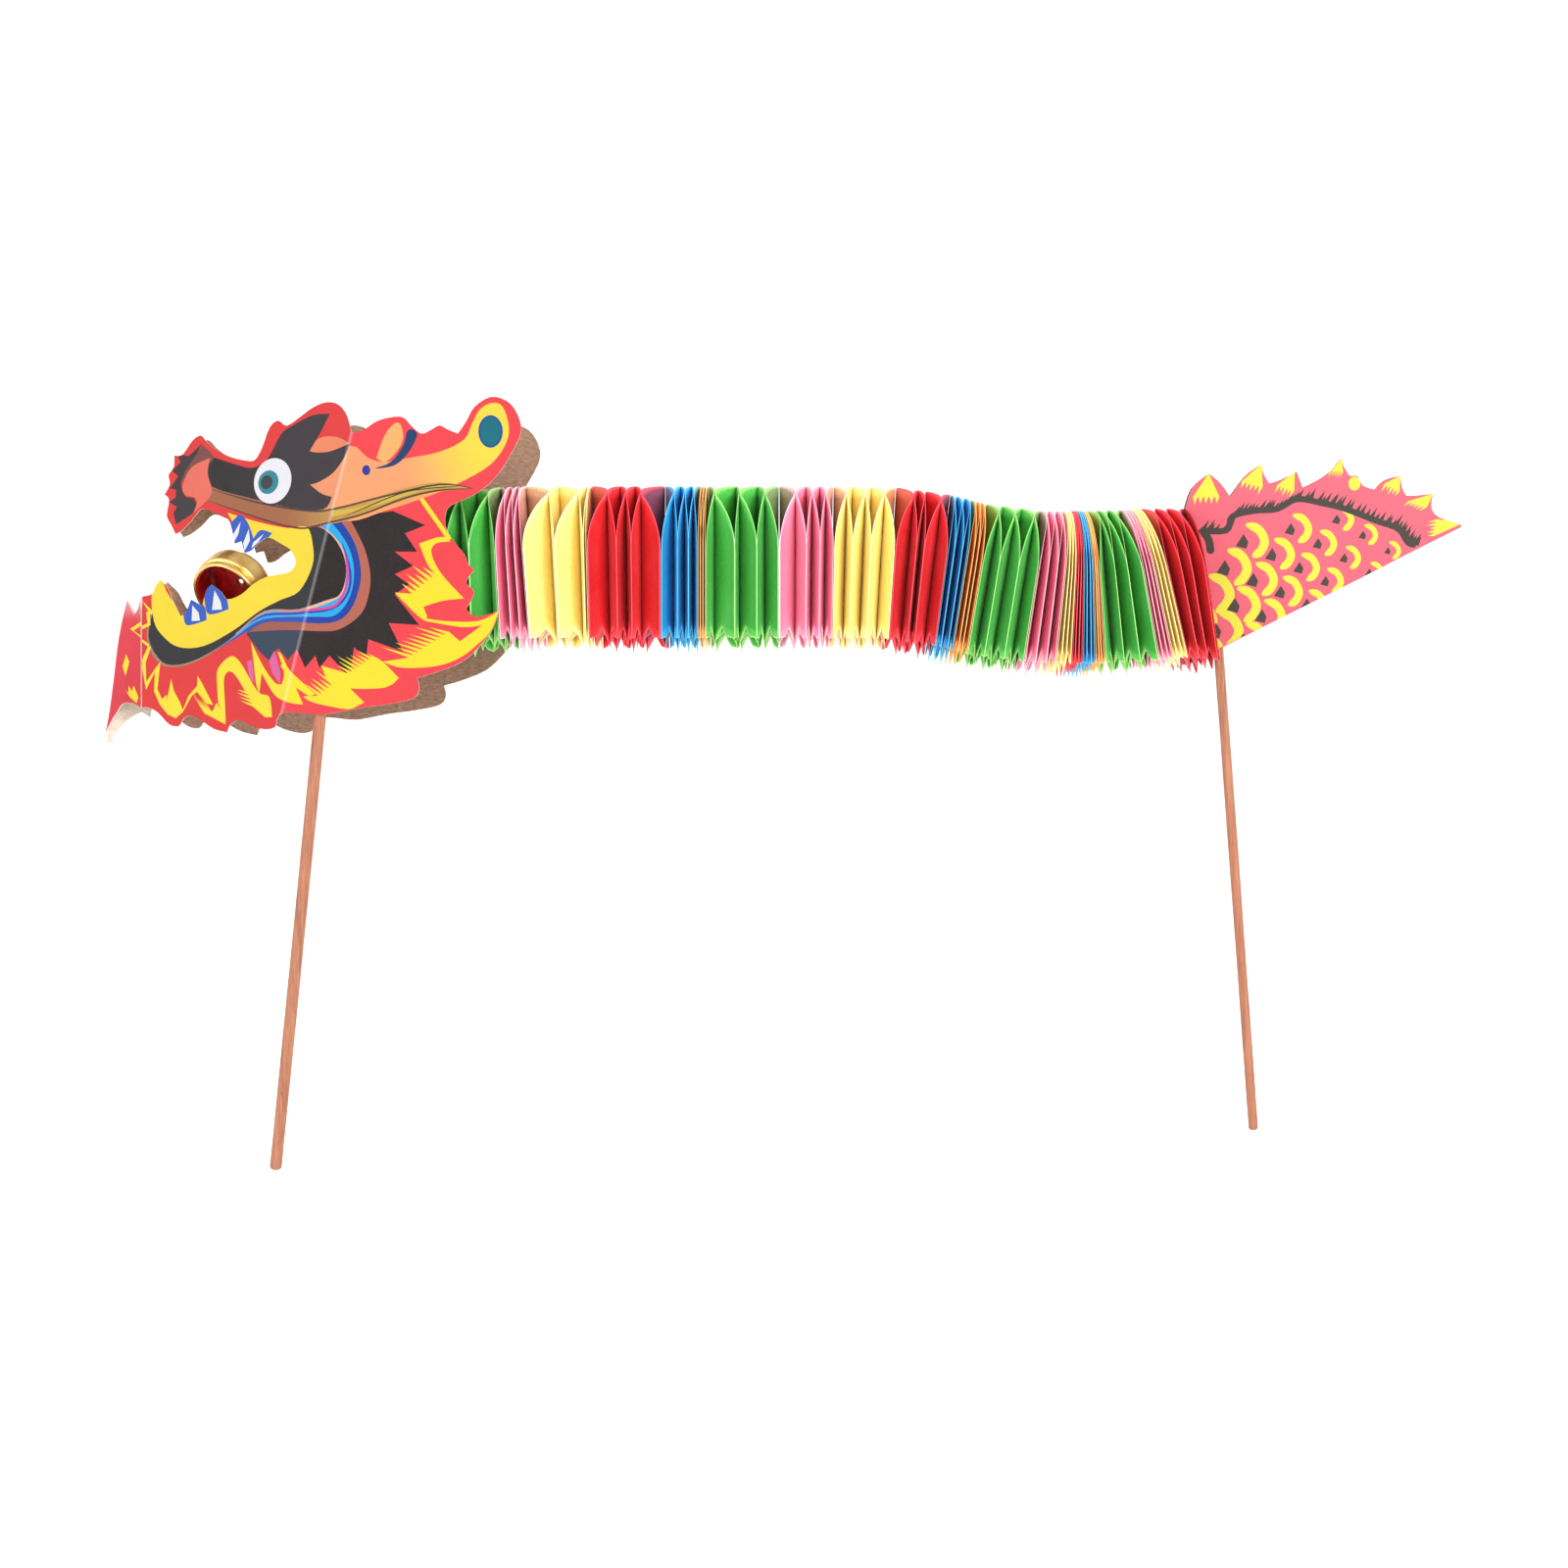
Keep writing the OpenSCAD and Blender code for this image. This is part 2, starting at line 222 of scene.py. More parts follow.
def ink(code):
    """A printed colour. The cards face the lamps squarely, so their inks are held back."""
    return tuple(c * INK_SHARE for c in linear(code)[:3]) + (1,)


def crease_highlight(m):
    """A painted highlight: a pale streak along the head's crease, where the folded card catches the
    light.
    """
    back, middle, front = (row(CREASE[0] + d * FORWARD[0], 0, CREASE[1] + d * FORWARD[1])
                           for d in (-HIGHLIGHT_BEHIND, 0.0, HIGHLIGHT_AHEAD))
    rise, fall = m.along(back, middle), m.along(front, middle)
    streak = m.add("ShaderNodeMath", operation="MULTIPLY")
    m.link(rise, streak.inputs[0])
    m.link(fall, streak.inputs[1])
    return m.span(streak.outputs[0], 0.0, 1.0, 0.0, HIGHLIGHT_SHARE)


def printed(name, code, second=None, start=None, end=None):
    """Glossy printed card: ink with a little unevenness, on a sheet that isn't quite flat."""
    if name in PRINTS:
        return PRINTS[name]
    m = Nodes(name)
    base = ink(code)
    if second:
        base = m.mix(m.along(row(*start), row(*end)), base, ink(second))
    mottle = m.noise(70, 3, rough=0.6)
    base = m.mix(m.span(mottle, 0.3, 0.75, 0.0, 0.10), base, ink(darker(code, 0.35)))
    grain = m.noise(2600, 2)
    base = m.mix(m.span(grain, 0.45, 0.8, 0.0, 0.06), base, ink(darker(code, -0.5)))
    # A painted highlight along the head's crease, left off the tail's cards.
    if not name.startswith("tail"):
        base = m.mix(crease_highlight(m), base, ink(darker(code, -0.55)))
    m.colour(base)
    m.set(Coat_Weight=0.08, Coat_Roughness=0.1, Specular_IOR_Level=0.15)
    m.roughness(m.noise(160, 3), 0.32, 0.46)
    wave = m.bump(m.noise(16, 1), 0.0022, 0.5)
    m.normal(m.bump(grain, 0.00002, 0.5, wave))
    PRINTS[name] = m.material
    return m.material


def kraft(name, code, spread=0.25):
    """Bare card: fibres, specks and a dull surface."""
    m = Nodes(name)
    fibre = m.noise(900, 5, stretch=(0.35, 1, 1), rough=0.7)
    cloud = m.noise(45, 3)
    base = m.mix(m.span(fibre, 0.35, 0.7), linear(darker(code, spread)), linear(darker(code, -0.14)))
    base = m.mix(m.span(cloud, 0.35, 0.7, 0, 0.35), base, linear(darker(code, 0.15)))
    m.colour(base)
    m.roughness(fibre, 0.78, 0.95)
    m.set(Specular_IOR_Level=0.25)
    m.normal(m.bump(fibre, 0.00006, 0.6, m.bump(cloud, 0.0008, 0.4)))
    return m.material


def tissue(name, code, fibre_and_fold_shade, edge):
    """Dyed paper: fine fibres, with a painted highlight at the cut rim and painted shade in the folds.
    """
    m = Nodes(name)
    fibre = m.noise(1300, 4, stretch=(1, 1, 0.3), rough=0.65)
    cloud = m.noise(60, 2)
    base = m.mix(m.span(fibre, 0.35, 0.7, 0, 0.30), linear(code), linear(fibre_and_fold_shade))
    base = m.mix(m.span(cloud, 0.35, 0.7, 0, 0.22), base, linear(darker(code, -0.25)))
    rim = m.add("ShaderNodeAttribute", attribute_name="rim")
    # Painted shade in the folds, deepest on the ridges, and a painted highlight on the cut edges.
    base = m.mix(m.span(rim.outputs["Fac"], 0.0, 0.55, 0.62, 0.0), base, linear(fibre_and_fold_shade))
    base = m.mix(m.span(rim.outputs["Fac"], 0.82, 1.0, 0.0, 0.85), base, linear(edge))
    m.colour(base)
    m.roughness(fibre, 0.62, 0.82)
    m.set(Specular_IOR_Level=0.12, Sheen_Weight=0.04, Sheen_Roughness=0.5)
    m.normal(m.bump(fibre, 0.00004, 0.5, m.bump(m.noise(240, 2), 0.00025, 0.4)))
    return m.material


def wood(name):
    """A dowel's wood, with its grain along Z."""
    m = Nodes(name)
    grain = m.noise(700, 5, stretch=(1, 1, 0.05), rough=0.65)
    band = m.noise(26, 3, stretch=(0.4, 0.4, 1))
    pores = m.noise(2200, 2, stretch=(1, 1, 0.07))
    base = m.mix(m.span(grain, 0.3, 0.72), linear("7A4632"), linear("B67C5C"))
    base = m.mix(m.span(band, 0.4, 0.7, 0, 0.55), base, linear("9C5C42"))
    base = m.mix(m.span(pores, 0.62, 0.75, 0, 0.65), base, linear("4A281C"))
    m.colour(base)
    m.roughness(grain, 0.45, 0.62)
    m.set(Specular_IOR_Level=0.4)
    m.normal(m.bump(pores, 0.00008, 0.6, m.bump(grain, 0.00012, 0.6)))
    return m.material


def metal(name, code, second, rough):
    """Polished metal in two close colours, a little dented."""
    m = Nodes(name)
    blotch = m.noise(120, 3)
    m.colour(m.mix(m.span(blotch, 0.35, 0.7), linear(code), linear(second)))
    m.set(Metallic=1.0)
    m.roughness(m.noise(500, 3), rough, rough + 0.12)
    m.normal(m.bump(blotch, 0.0004, 0.4, m.bump(m.noise(1500, 2), 0.00002, 0.4)))
    return m.material


def lacquer(name):
    """Shiny red lacquer, darker in blotches."""
    m = Nodes(name)
    blotch = m.noise(200, 3)
    m.colour(m.mix(m.span(blotch, 0.35, 0.7), linear("B81316"), linear("7C0B10")))
    m.set(Roughness=0.22, Coat_Weight=0.6, Coat_Roughness=0.08)
    m.normal(m.bump(blotch, 0.0002, 0.5))
    return m.material


def clear(name, tint, rough):
    """Clear tape or glue."""
    m = Nodes(name)
    ripple = m.noise(220, 2)
    m.colour(m.mix(m.span(ripple, 0.3, 0.7), linear(tint), linear(darker(tint, 0.12))))
    m.set(Roughness=rough, Transmission_Weight=0.85, IOR=1.45, Coat_Weight=0.5)
    m.normal(m.bump(ripple, 0.0003, 0.5))
    return m.material


# ---- Outlines ----
def pairs(numbers):
    return [(numbers[i], numbers[i + 1]) for i in range(0, len(numbers), 2)]


def shape(*numbers):
    """A loop with straight sides."""
    return pairs(numbers)


def curve(*numbers, steps=4, closed=True, sharp=75):
    """A smooth line through the points, with a corner wherever it turns more than sharp degrees."""
    points = pairs(numbers)
    count = len(points)

    def turns(i):
        a, b, c = points[i - 1], points[i], points[(i + 1) % count]
        way = math.atan2(c[1] - b[1], c[0] - b[0]) - math.atan2(b[1] - a[1], b[0] - a[0])
        return abs((way + math.pi) % math.tau - math.pi) > math.radians(sharp)

    corners = {i for i in range(count) if turns(i) or (not closed and i in (0, count - 1))}
    line = []
    for i in range(count if closed else count - 1):
        j = (i + 1) % count
        b, c = points[i], points[j]
        a = b if i in corners else points[i - 1]
        d = c if j in corners else points[(j + 1) % count]
        for k in range(steps):
            t = k / steps
            line.append(tuple(0.5 * (2 * b[n] + (c[n] - a[n]) * t
                                     + (2 * a[n] - 5 * b[n] + 4 * c[n] - d[n]) * t * t
                                     + (3 * b[n] - a[n] - 3 * c[n] + d[n]) * t ** 3)
                              for n in (0, 1)))
    if not closed:
        line.append(points[-1])
    return line


def oval(x, z, rx, rz, sides=40):
    angles = [i * math.tau / sides for i in range(sides)]
    return [(x + rx * math.cos(a), z + rz * math.sin(a)) for a in angles]


def side_of(line, i):
    """The unit normal of an open line at its point i."""
    a, b = line[max(i - 1, 0)], line[min(i + 1, len(line) - 1)]
    dx, dz = b[0] - a[0], b[1] - a[1]
    long = math.hypot(dx, dz) or 1
    return -dz / long, dx / long


# How fast a stroke widens from its ends: shares of its width for each share of its length.
TAPER_RATE = 5


def stroke(width, *numbers, taper=(0.25, 0.25)):
    """A brush line of that width. taper gives the share of it at either end."""
    line = curve(*numbers, closed=False)
    last = len(line) - 1
    halves = []
    for i in range(len(line)):
        t = i / last
        share = min(1, taper[0] + t * TAPER_RATE, taper[1] + (1 - t) * TAPER_RATE)
        halves.append(width / 2 * share)
    sides = [side_of(line, i) for i in range(len(line))]
    left = [(p[0] + s[0] * h, p[1] + s[1] * h) for p, s, h in zip(line, sides, halves)]
    right = [(p[0] - s[0] * h, p[1] - s[1] * h) for p, s, h in zip(line, sides, halves)]
    return left + right[::-1]


def bristles(start, end, count, length, way, chance):
    """The dry-brush edge from start to end: count thin spikes that point along way."""
    def along(share, reach=0):
        return tuple(start[n] + (end[n] - start[n]) * share + way[n] * reach for n in (0, 1))

    edge = []
    for i in range(count):
        a, b = i / count, (i + 0.8) / count
        edge += [along(a), along((a + b) / 2, length * chance.uniform(0.6, 1.1)), along(b)]
    return edge


def flame(before, start, end, count, length, way, after, chance):
    """A flame: its smooth sides, and bristles between start and end."""
    return (curve(*before, closed=False) + bristles(start, end, count, length, way, chance)
            + curve(*after, closed=False))


def inside(loop, x, z):
    """True where a level line from the point crosses the loop an odd number of times."""
    odd = False
    ax, az = loop[-1]
    for bx, bz in loop:
        if (az > z) != (bz > z) and x < (bx - ax) * (z - az) / (bz - az) + ax:
            odd = not odd
        ax, az = bx, bz
    return odd


# Points this close are joined, in mm, and triangles under this size are left out, in mm2.
JOIN_WITHIN, SMALLEST_AREA = 1e-4, 1e-5


def tile(border, art, cuts=()):
    """Triangles of the border's inside, cut along every loop of the art.
    Each is (three corner numbers, name of the topmost ink over it, its middle)."""
    points, edges = [], []
    for loop in [border] + [loop for _, loop in art]:
        first = len(points)
        points += [Vector(p) for p in loop]
        edges += [(first + i, first + (i + 1) % len(loop)) for i in range(len(loop))]
    for a, b in cuts:
        edges.append((len(points), len(points) + 1))
        points += [Vector(a), Vector(b)]
    result = delaunay_2d_cdt(points, edges, [], 0, JOIN_WITHIN)
    flat, triangles = result[0], result[2]
    boxes = [(min(p[0] for p in loop), max(p[0] for p in loop),
              min(p[1] for p in loop), max(p[1] for p in loop)) for _, loop in art]
    kept = []
    for tri in triangles:
        corners = [flat[i] for i in tri]
        x, z = sum(c.x for c in corners) / 3, sum(c.y for c in corners) / 3
        area = (corners[1] - corners[0]).cross(corners[2] - corners[0])
        if abs(area) < SMALLEST_AREA or not inside(border, x, z):
            continue
        name = ""
        for (key, loop), limits in zip(reversed(art), reversed(boxes)):
            if limits[0] <= x <= limits[1] and limits[2] <= z <= limits[3] and inside(loop, x, z):
                name = key
                break
        kept.append((tri if area > 0 else tri[::-1], name, (x, z)))
    return [(p.x, p.y) for p in flat], kept


def build(name, points, faces, materials, numbers, smooth=False):
    """A mesh object. numbers gives each face's place in the list of materials."""
    mesh = bpy.data.meshes.new(name)
    mesh.from_pydata(points, [], faces)
    for material in materials:
        mesh.materials.append(material)
    mesh.polygons.foreach_set("material_index", numbers)
    mesh.polygons.foreach_set("use_smooth", [smooth] * len(faces))
    mesh.update()
    mesh.validate()
    piece = bpy.data.objects.new(name, mesh)
    bpy.context.collection.objects.link(piece)
    return piece


def card(name, border, art, place, base, back, rim, cuts=(), mirrored=False):
    """A thin printed card. place(x, z) gives the outer and inner points in millimetres, and
    base(ink, x, z) the material of a triangle whose middle lies there."""
    flat, kept = tile(border, art, cuts)
    used = sorted({i for tri, _, _ in kept for i in tri})
    number = {old: new for new, old in enumerate(used)}
    outer, inner = [], []
    for i in used:
        for point, side in zip(place(*flat[i]), (outer, inner)):
            x, y, z = point
            side.append(row(x, -y if mirrored else y, z))
    count = len(used)
    inks = []
    faces, numbers = [], []
    # A dict and not a set, so that the rim's walls keep their order.
    edges = {}
    for tri, key, middle in kept:
        material = base(key, *middle)
        if material not in inks:
            inks.append(material)
        a, b, c = (number[i] for i in tri)
        faces.append((a, c, b) if mirrored else (a, b, c))
        numbers.append(inks.index(material))
        for edge in ((a, b), (b, c), (c, a)):
            edges[edge] = True
    fronts = len(faces)
    for face in faces[:fronts]:
        faces.append(tuple(i + count for i in reversed(face)))
        numbers.append(len(inks))
    for a, b in edges:
        if (b, a) not in edges:
            wall = (b, a, a + count, b + count)
            faces.append(wall[::-1] if mirrored else wall)
            numbers.append(len(inks) + 1)
    return build(name, outer + inner, faces, inks + [back, rim], numbers)


# ---- Head ----
# Both halves are cut and printed alike. The flat half card lies on the cheek's plane, and its
# front part folds inwards along a crease.
CREASE = (-240.5, 60.1)
CREASE_LEAN = math.radians(14.04)
CREASE_DOWN, CREASE_UP = 40, 140
FACE_ANGLE = math.radians(21.06)
# Half the head's width, between the cheeks' outsides.
HALF = 38.2
FORWARD = (-math.cos(CREASE_LEAN), math.sin(CREASE_LEAN))


def past_crease(x, z):
    """How far a flat point lies in front of the crease."""
    return (x - CREASE[0]) * FORWARD[0] + (z - CREASE[1]) * FORWARD[1]


def head_place(x, z):
    """The near card's outside and inside, folded inwards in front of the crease."""
    e = past_crease(x, z)
    if e <= 0:
        return (x, -HALF, z), (x, CARD - HALF, z)
    back = e * (1 - math.cos(FACE_ANGLE))
    fold_x, fold_z = x - FORWARD[0] * back, z - FORWARD[1] * back
    y = e * math.sin(FACE_ANGLE) - HALF
    return (fold_x, y, fold_z), (fold_x, min(y + CARD, -MIDDLE_GAP), fold_z)


# The half head's outline, from the ear round the horn, the neck, the jaw, the mouth and the nose.
HEAD = curve(
    -212, 172, -206, 174, -200, 178, -193, 180, -187, 180, -183, 176, -178, 172, -173, 174,
    -169, 176, -165, 174, -160, 172, -156, 178, -152, 185, -144, 190, -136, 188, -131, 182,
    -129, 173, -134, 162, -142, 150, -152, 142, -163, 137, -166, 133, -166, 126, -162, 119,
    -157, 113, -155, 108, -152, 105, -156, 99, -152, 94, -156, 86, -151, 82, -140, 85, -143, 76,
    -150, 67, -158, 60, -170, 55, -180, 52, -179, 47, -182, 42, -195, 39, -210, 37, -226, 34,
    -238, 35, -246, 35, -249, 32, -250, 28, -256, 27, -264, 29, -271, 32, -276, 30, -278, 26,
    -286, 28, -293, 32, -299, 35, -304, 34, -307, 30, -313, 31, -320, 37, -326, 40, -330, 40,
    -333, 97, -327, 98, -325, 102, -322, 105, -317, 100, -314, 94, -309, 86, -306, 87, -303, 94,
    -299, 92, -296, 90, -294, 98, -291, 101, -285, 97, -281, 93, -273, 95, -266, 100, -259, 103,
    -251, 104, -245, 105, -242, 108, -242, 111, -245, 116, -250, 119, -258, 123, -263, 121,
    -268, 117, -272, 116, -274, 122, -278, 121, -280, 128, -283, 134, -292, 138, -299, 140,
    -305, 134, -310, 130, -314, 128, -317, 133, -320, 138, -319, 146, -322, 149, -319, 154,
    -320, 159, -317, 163, -317, 169, -312, 169, -306, 176, -301, 178, -297, 174, -290, 169,
    -281, 165, -273, 163, -268, 163, -264, 169, -260, 179, -255, 182, -250, 179, -242, 183,
    -235, 187, -227, 189, -220, 187, -215, 181, steps=3)

chance = random.Random(8)
MANE_ART = [
    ("mane", shape(-213, 131, -192, 134, -176, 127, -186, 123, -180, 114, -191, 114, -182, 107,
        -191, 103, -184, 98, -191, 93, -179, 78, -194, 79, -187, 65, -204, 71, -205, 62, -211, 67,
        -213, 52, -223, 63, -228, 57, -230, 63, -235, 57, -239, 66, -244, 61, -250, 67, -255, 61,
        -261, 66, -269, 75, -263, 84, -231, 92, -216, 104)),
    ("glow", shape(-268, 61, -265, 62, -263, 50, -266, 53)),
    ("glow", shape(-255, 61, -252, 66, -248, 55, -248, 49, -253, 55)),
    ("terracotta", curve(-220, 128, -213, 130, -206, 116, -203, 103, -204, 92, -208, 83, -218, 76,
        -228, 75, -247, 76, -265, 76, -269, 75, -240, 95, -224, 112)),
    ("deep_blue", curve(-224, 128, -218, 130, -211, 119, -208, 108, -208, 98, -213, 85, -223, 79,
        -247, 80, -259, 80, -275, 73, -285, 68, -268, 84, -230, 100)),
    ("cyan", curve(-227, 128, -222, 128, -214, 117, -211, 105, -213, 92, -220, 83, -231, 82, -259, 82,
        -275, 74, -284, 69, -268, 86, -232, 100)),
    ("ink_blue", stroke(1.1, -217, 119, -213, 105, -214, 94, -222, 86, -240, 84, -258, 84, -270, 79)),
    ("magenta", stroke(1.4, -216, 115, -214, 102, -218, 90, -226, 86, -250, 85)),
]
MOUTH_ART = [
    ("peach_line", curve(-228, 127, -221, 122, -216, 114, -215, 103, -217, 93, -226, 88, -239, 85,
        -259, 85, -276, 74, -285, 69, -268, 90, -236, 104)),
    ("throat", curve(-236, 127, -228, 126, -221, 121, -216, 112, -215, 102, -218, 93, -225, 90,
        -239, 86, -259, 86, -276, 75, -285, 70, -268, 96, -240, 104)),
    ("olive", curve(-326, 92, -329, 79, -327, 70, -320, 62, -311, 60, -299, 62, -284, 69, -276, 74,
        -290, 80, -315, 84)),
    ("throat", curve(-325, 92, -328, 79, -326, 71, -319, 63, -311, 61, -299, 63, -285, 69, -275, 75,
        -290, 82, -315, 84)),
    ("gum", curve(-283, 137, -264, 131, -247, 127, -236, 127, -232, 117, -232, 107, -239, 95, -250, 91,
        -262, 86, -277, 77, -294, 70, -309, 70, -319, 76, -325, 84, -327, 98, -322, 106, -310, 92,
        -280, 100, -262, 110, -276, 127)),
]
CHEEK_ART = [
    ("horn", curve(-213, 166, -204, 160, -196, 158, -184, 160, -169, 163, -157, 169, -153, 177,
        -149, 184, -143, 187, -138, 185, -135, 175, -137, 166, -145, 156, -161, 147, -175, 141,
        -196, 134, -213, 129, -228, 134, -236, 148, -232, 158)),
    ("leaf", curve(-236, 165, -231, 171, -221, 171, -213, 167, -218, 163, -233, 160)),
    ("petal", curve(-200, 160, -196, 171, -191, 177, -188, 176, -187, 169, -191, 162, -196, 158)),
    ("navy", curve(-201, 155, -193, 158, -187, 166, -185, 173, -182, 174, -180, 171, -184, 163,
        -190, 157, -197, 155)),
    ("dot", oval(-205, 154, 2, 2.5, 24)),
    ("rim_blue", oval(-144, 173, 6, 8)),
    ("teal", oval(-144, 173, 5, 7)),
    ("lip", curve(-294, 151, -264, 142, -245, 137, -226, 135, -208, 138, -187, 145, -169, 148,
        -154, 145, -172, 143, -187, 139, -206, 132, -220, 128, -235, 127, -253, 130, -276, 137,
        -296, 144)),
    ("peach", curve(-167, 144, -187, 137, -212, 130, -196, 136, -178, 142)),
    ("gold_hatch", curve(-222, 134, -208, 136, -187, 144, -169, 147, -160, 146, -178, 144, -196, 138,
        -222, 131)),
    ("dark_line", stroke(0.9, -294, 150, -265, 141, -236, 135, -221, 135, -197, 141, -169, 147,
        -152, 145)),
    ("dark_line", stroke(0.9, -295, 144, -264, 133, -243, 127, -231, 127, -208, 132, -187, 140,
        -170, 144, -153, 145)),
    ("dark_line", stroke(0.6, -216, 131, -190, 142, -175, 145, -160, 146)),
]
EYE_ART = [
    ("patch", curve(-295, 167, -281, 162, -270, 159, -263, 161, -259, 165, -253, 175, -246, 179,
        -235, 183, -225, 183, -230, 174, -236, 165, -232, 164, -224, 164, -213, 167, -216, 160,
        -222, 153, -230, 149, -235, 148, -228, 143, -222, 141, -227, 135, -245, 137, -264, 142,
        -293, 151, -296, 160)),
    ("snout_ring", curve(-300, 173, -294, 168, -294, 164, -306, 158, -311, 153, -310, 160, -303, 169)),
    ("nose_dark", shape(-300, 174, -308, 168, -315, 169, -313, 165, -318, 161, -314, 158, -319, 152,
        -315, 151, -315, 147, -319, 145, -314, 142, -316, 139, -314, 133, -304, 138, -302, 143,
        -304, 146, -309, 147, -311, 150, -312, 154, -310, 160, -303, 169)),
    ("salmon", curve(-295, 166, -306, 162, -311, 153, -309, 148, -303, 146, -302, 142, -304, 138,
        -296, 144, -293, 149, -296, 158)),
    ("eye_shade", oval(-256, 151, 11.5, 12)),
    ("eye_white", oval(-257, 151.5, 11, 11.5)),
    ("teal_eye", oval(-259.5, 151, 6, 6)),
    ("pupil", oval(-260.5, 151, 3.5, 3.5, 32)),
]
TOOTH_ART = [
    ("tooth", curve(-276, 136, -284, 128, -284, 118, -272, 112, -256, 125, -263, 127, -267, 123,
        -269, 128, -272, 133)),
    ("tooth_white", shape(-275, 132, -279, 126, -279, 121, -276, 126)),
    ("tooth_white", shape(-270, 128, -273, 121, -272, 117, -269, 122)),
    ("tooth_white", shape(-261, 125, -267, 121, -268, 118, -264, 121)),
    ("tooth", curve(-307, 89, -304, 95, -298, 93, -294, 89, -293, 83, -302, 81, -306, 82)),
    ("tooth", curve(-295, 96, -293, 101, -290, 101, -286, 99, -282, 95, -280, 88, -288, 86, -293, 87)),
    ("tooth_white", shape(-302, 91, -298, 87, -297, 83, -302, 83)),
    ("tooth_white", shape(-289, 98, -285, 92, -284, 88, -290, 88)),
]
FLAME_ART = [("flame", loop) for loop in (
    stroke(2.2, -178, 140, -171, 130, -164, 120, taper=(0.8, 0.8)),
    flame((-164, 121, -170, 121, -179, 118, -175, 108, -172, 104), (-171, 103), (-183, 93), 6, 10,
        (-0.8, 0.6), (-191, 94, -179, 82, -175, 82, -177, 87, -167, 90, -157, 91, -168, 103, -173, 113,
        -171, 118, -164, 119), chance),
    flame((-179, 82, -167, 80, -150, 80, -140, 85, -144, 75, -151, 68, -159, 62, -170, 58, -187, 57,
        -197, 60), (-184, 62), (-164, 75), 9, 14, (-0.95, 0.3), (-159, 70, -148, 78, -158, 77,
        -176, 80), chance),
    flame((-189, 52, -197, 60, -204, 64), (-202, 62), (-214, 54), 7, 11, (-0.85, 0.5), (-227, 58,
        -223, 50, -214, 47, -198, 47, -192, 49), chance),
    flame((-206, 40, -219, 53), (-219, 51), (-229, 43), 6, 10, (-0.8, 0.6), (-236, 43, -231, 40,
        -217, 37, -212, 37), chance),
    shape(-247, 61, -242, 55, -230, 44, -233, 43, -239, 47, -248, 58),
    curve(-266, 71, -258, 58, -251, 50, -247, 49, -246, 55, -250, 65, -248, 64, -243, 55, -236, 39,
        -243, 40, -251, 44, -259, 55, -260, 45, -262, 50, -264, 61),
    flame((-279, 31, -280, 41, -281, 54, -276, 56, -268, 46), (-267, 46), (-263, 38), 4, 9, (-0.9, 0.3),
        (-256, 33, -252, 33, -254, 43, -261, 46, -272, 61, -278, 64, -285, 58, -285, 50, -284, 41),
        chance),
    flame((-285, 41, -287, 37), (-288, 37), (-296, 41), 5, 8, (-0.55, 0.75), (-292, 36, -279, 30,
        -281, 36), chance),
    shape(-328, 71, -326, 71, -329, 63, -328, 53, -325, 57, -320, 63, -321, 49, -318, 44, -315, 46,
        -315, 42, -313, 54, -311, 48, -309, 45, -307, 42, -305, 38, -302, 45, -297, 50, -297, 55,
        -294, 51, -287, 40, -291, 41, -297, 47, -300, 45, -305, 37, -309, 34, -314, 36, -319, 41,
        -323, 48, -323, 58, -328, 49, -331, 60, -331, 65),
    shape(-333, 95, -326, 89, -327, 87, -330, 91),
    shape(-328, 89, -327, 82, -335, 79, -335, 77, -327, 72, -328, 71, -335, 76, -335, 81, -329, 83,
        -330, 89),
)]
HEAD_ART = MANE_ART + MOUTH_ART + CHEEK_ART + EYE_ART + TOOTH_ART + FLAME_ART

# Each ink's colour on the cheek, and in front of the crease where it differs there: the same inks with
# painted light on the folded face, mostly painted shade, and a painted bluish reflection on the dark
# mane.
INKS = {
    "mane": "2C2224", "glow": "E566A4", "terracotta": "BC6A55", "deep_blue": "1B44A8", "cyan": "28B0F0",
    "ink_blue": "2B3FA8", "magenta": "DA4FA4", "peach_line": "F0BFA0", "throat": "2A2222",
    "olive": "9C8C74", "gum": "FFE04A", "leaf": "F58A62", "petal": "FDB76E", "navy": "23406E",
    "dot": "2E3A9E", "rim_blue": "1E4FA0", "teal": "0E7284", "peach": "FFA766", "gold_hatch": "DDBB4C",
    "dark_line": "54422E", "snout_ring": "7E443F", "nose_dark": "382C32", "salmon": "F0705E",
    "eye_shade": "2B262C", "eye_white": "F3F1F8", "teal_eye": "1F8A99", "pupil": "35393B",
    "tooth": "2C5CC6", "tooth_white": "F4F2F6", "flame": "FFE732",
}
FRONT_PAINTED_LIGHT_INKS = {
    "mane": "2A3A52", "terracotta": "A8594C", "deep_blue": "1B50B4", "cyan": "30A8F4",
    "magenta": "D862B0", "peach_line": "C79A8A", "throat": "221F24", "gum": "FFE030",
    "dark_line": "4A3730",
}


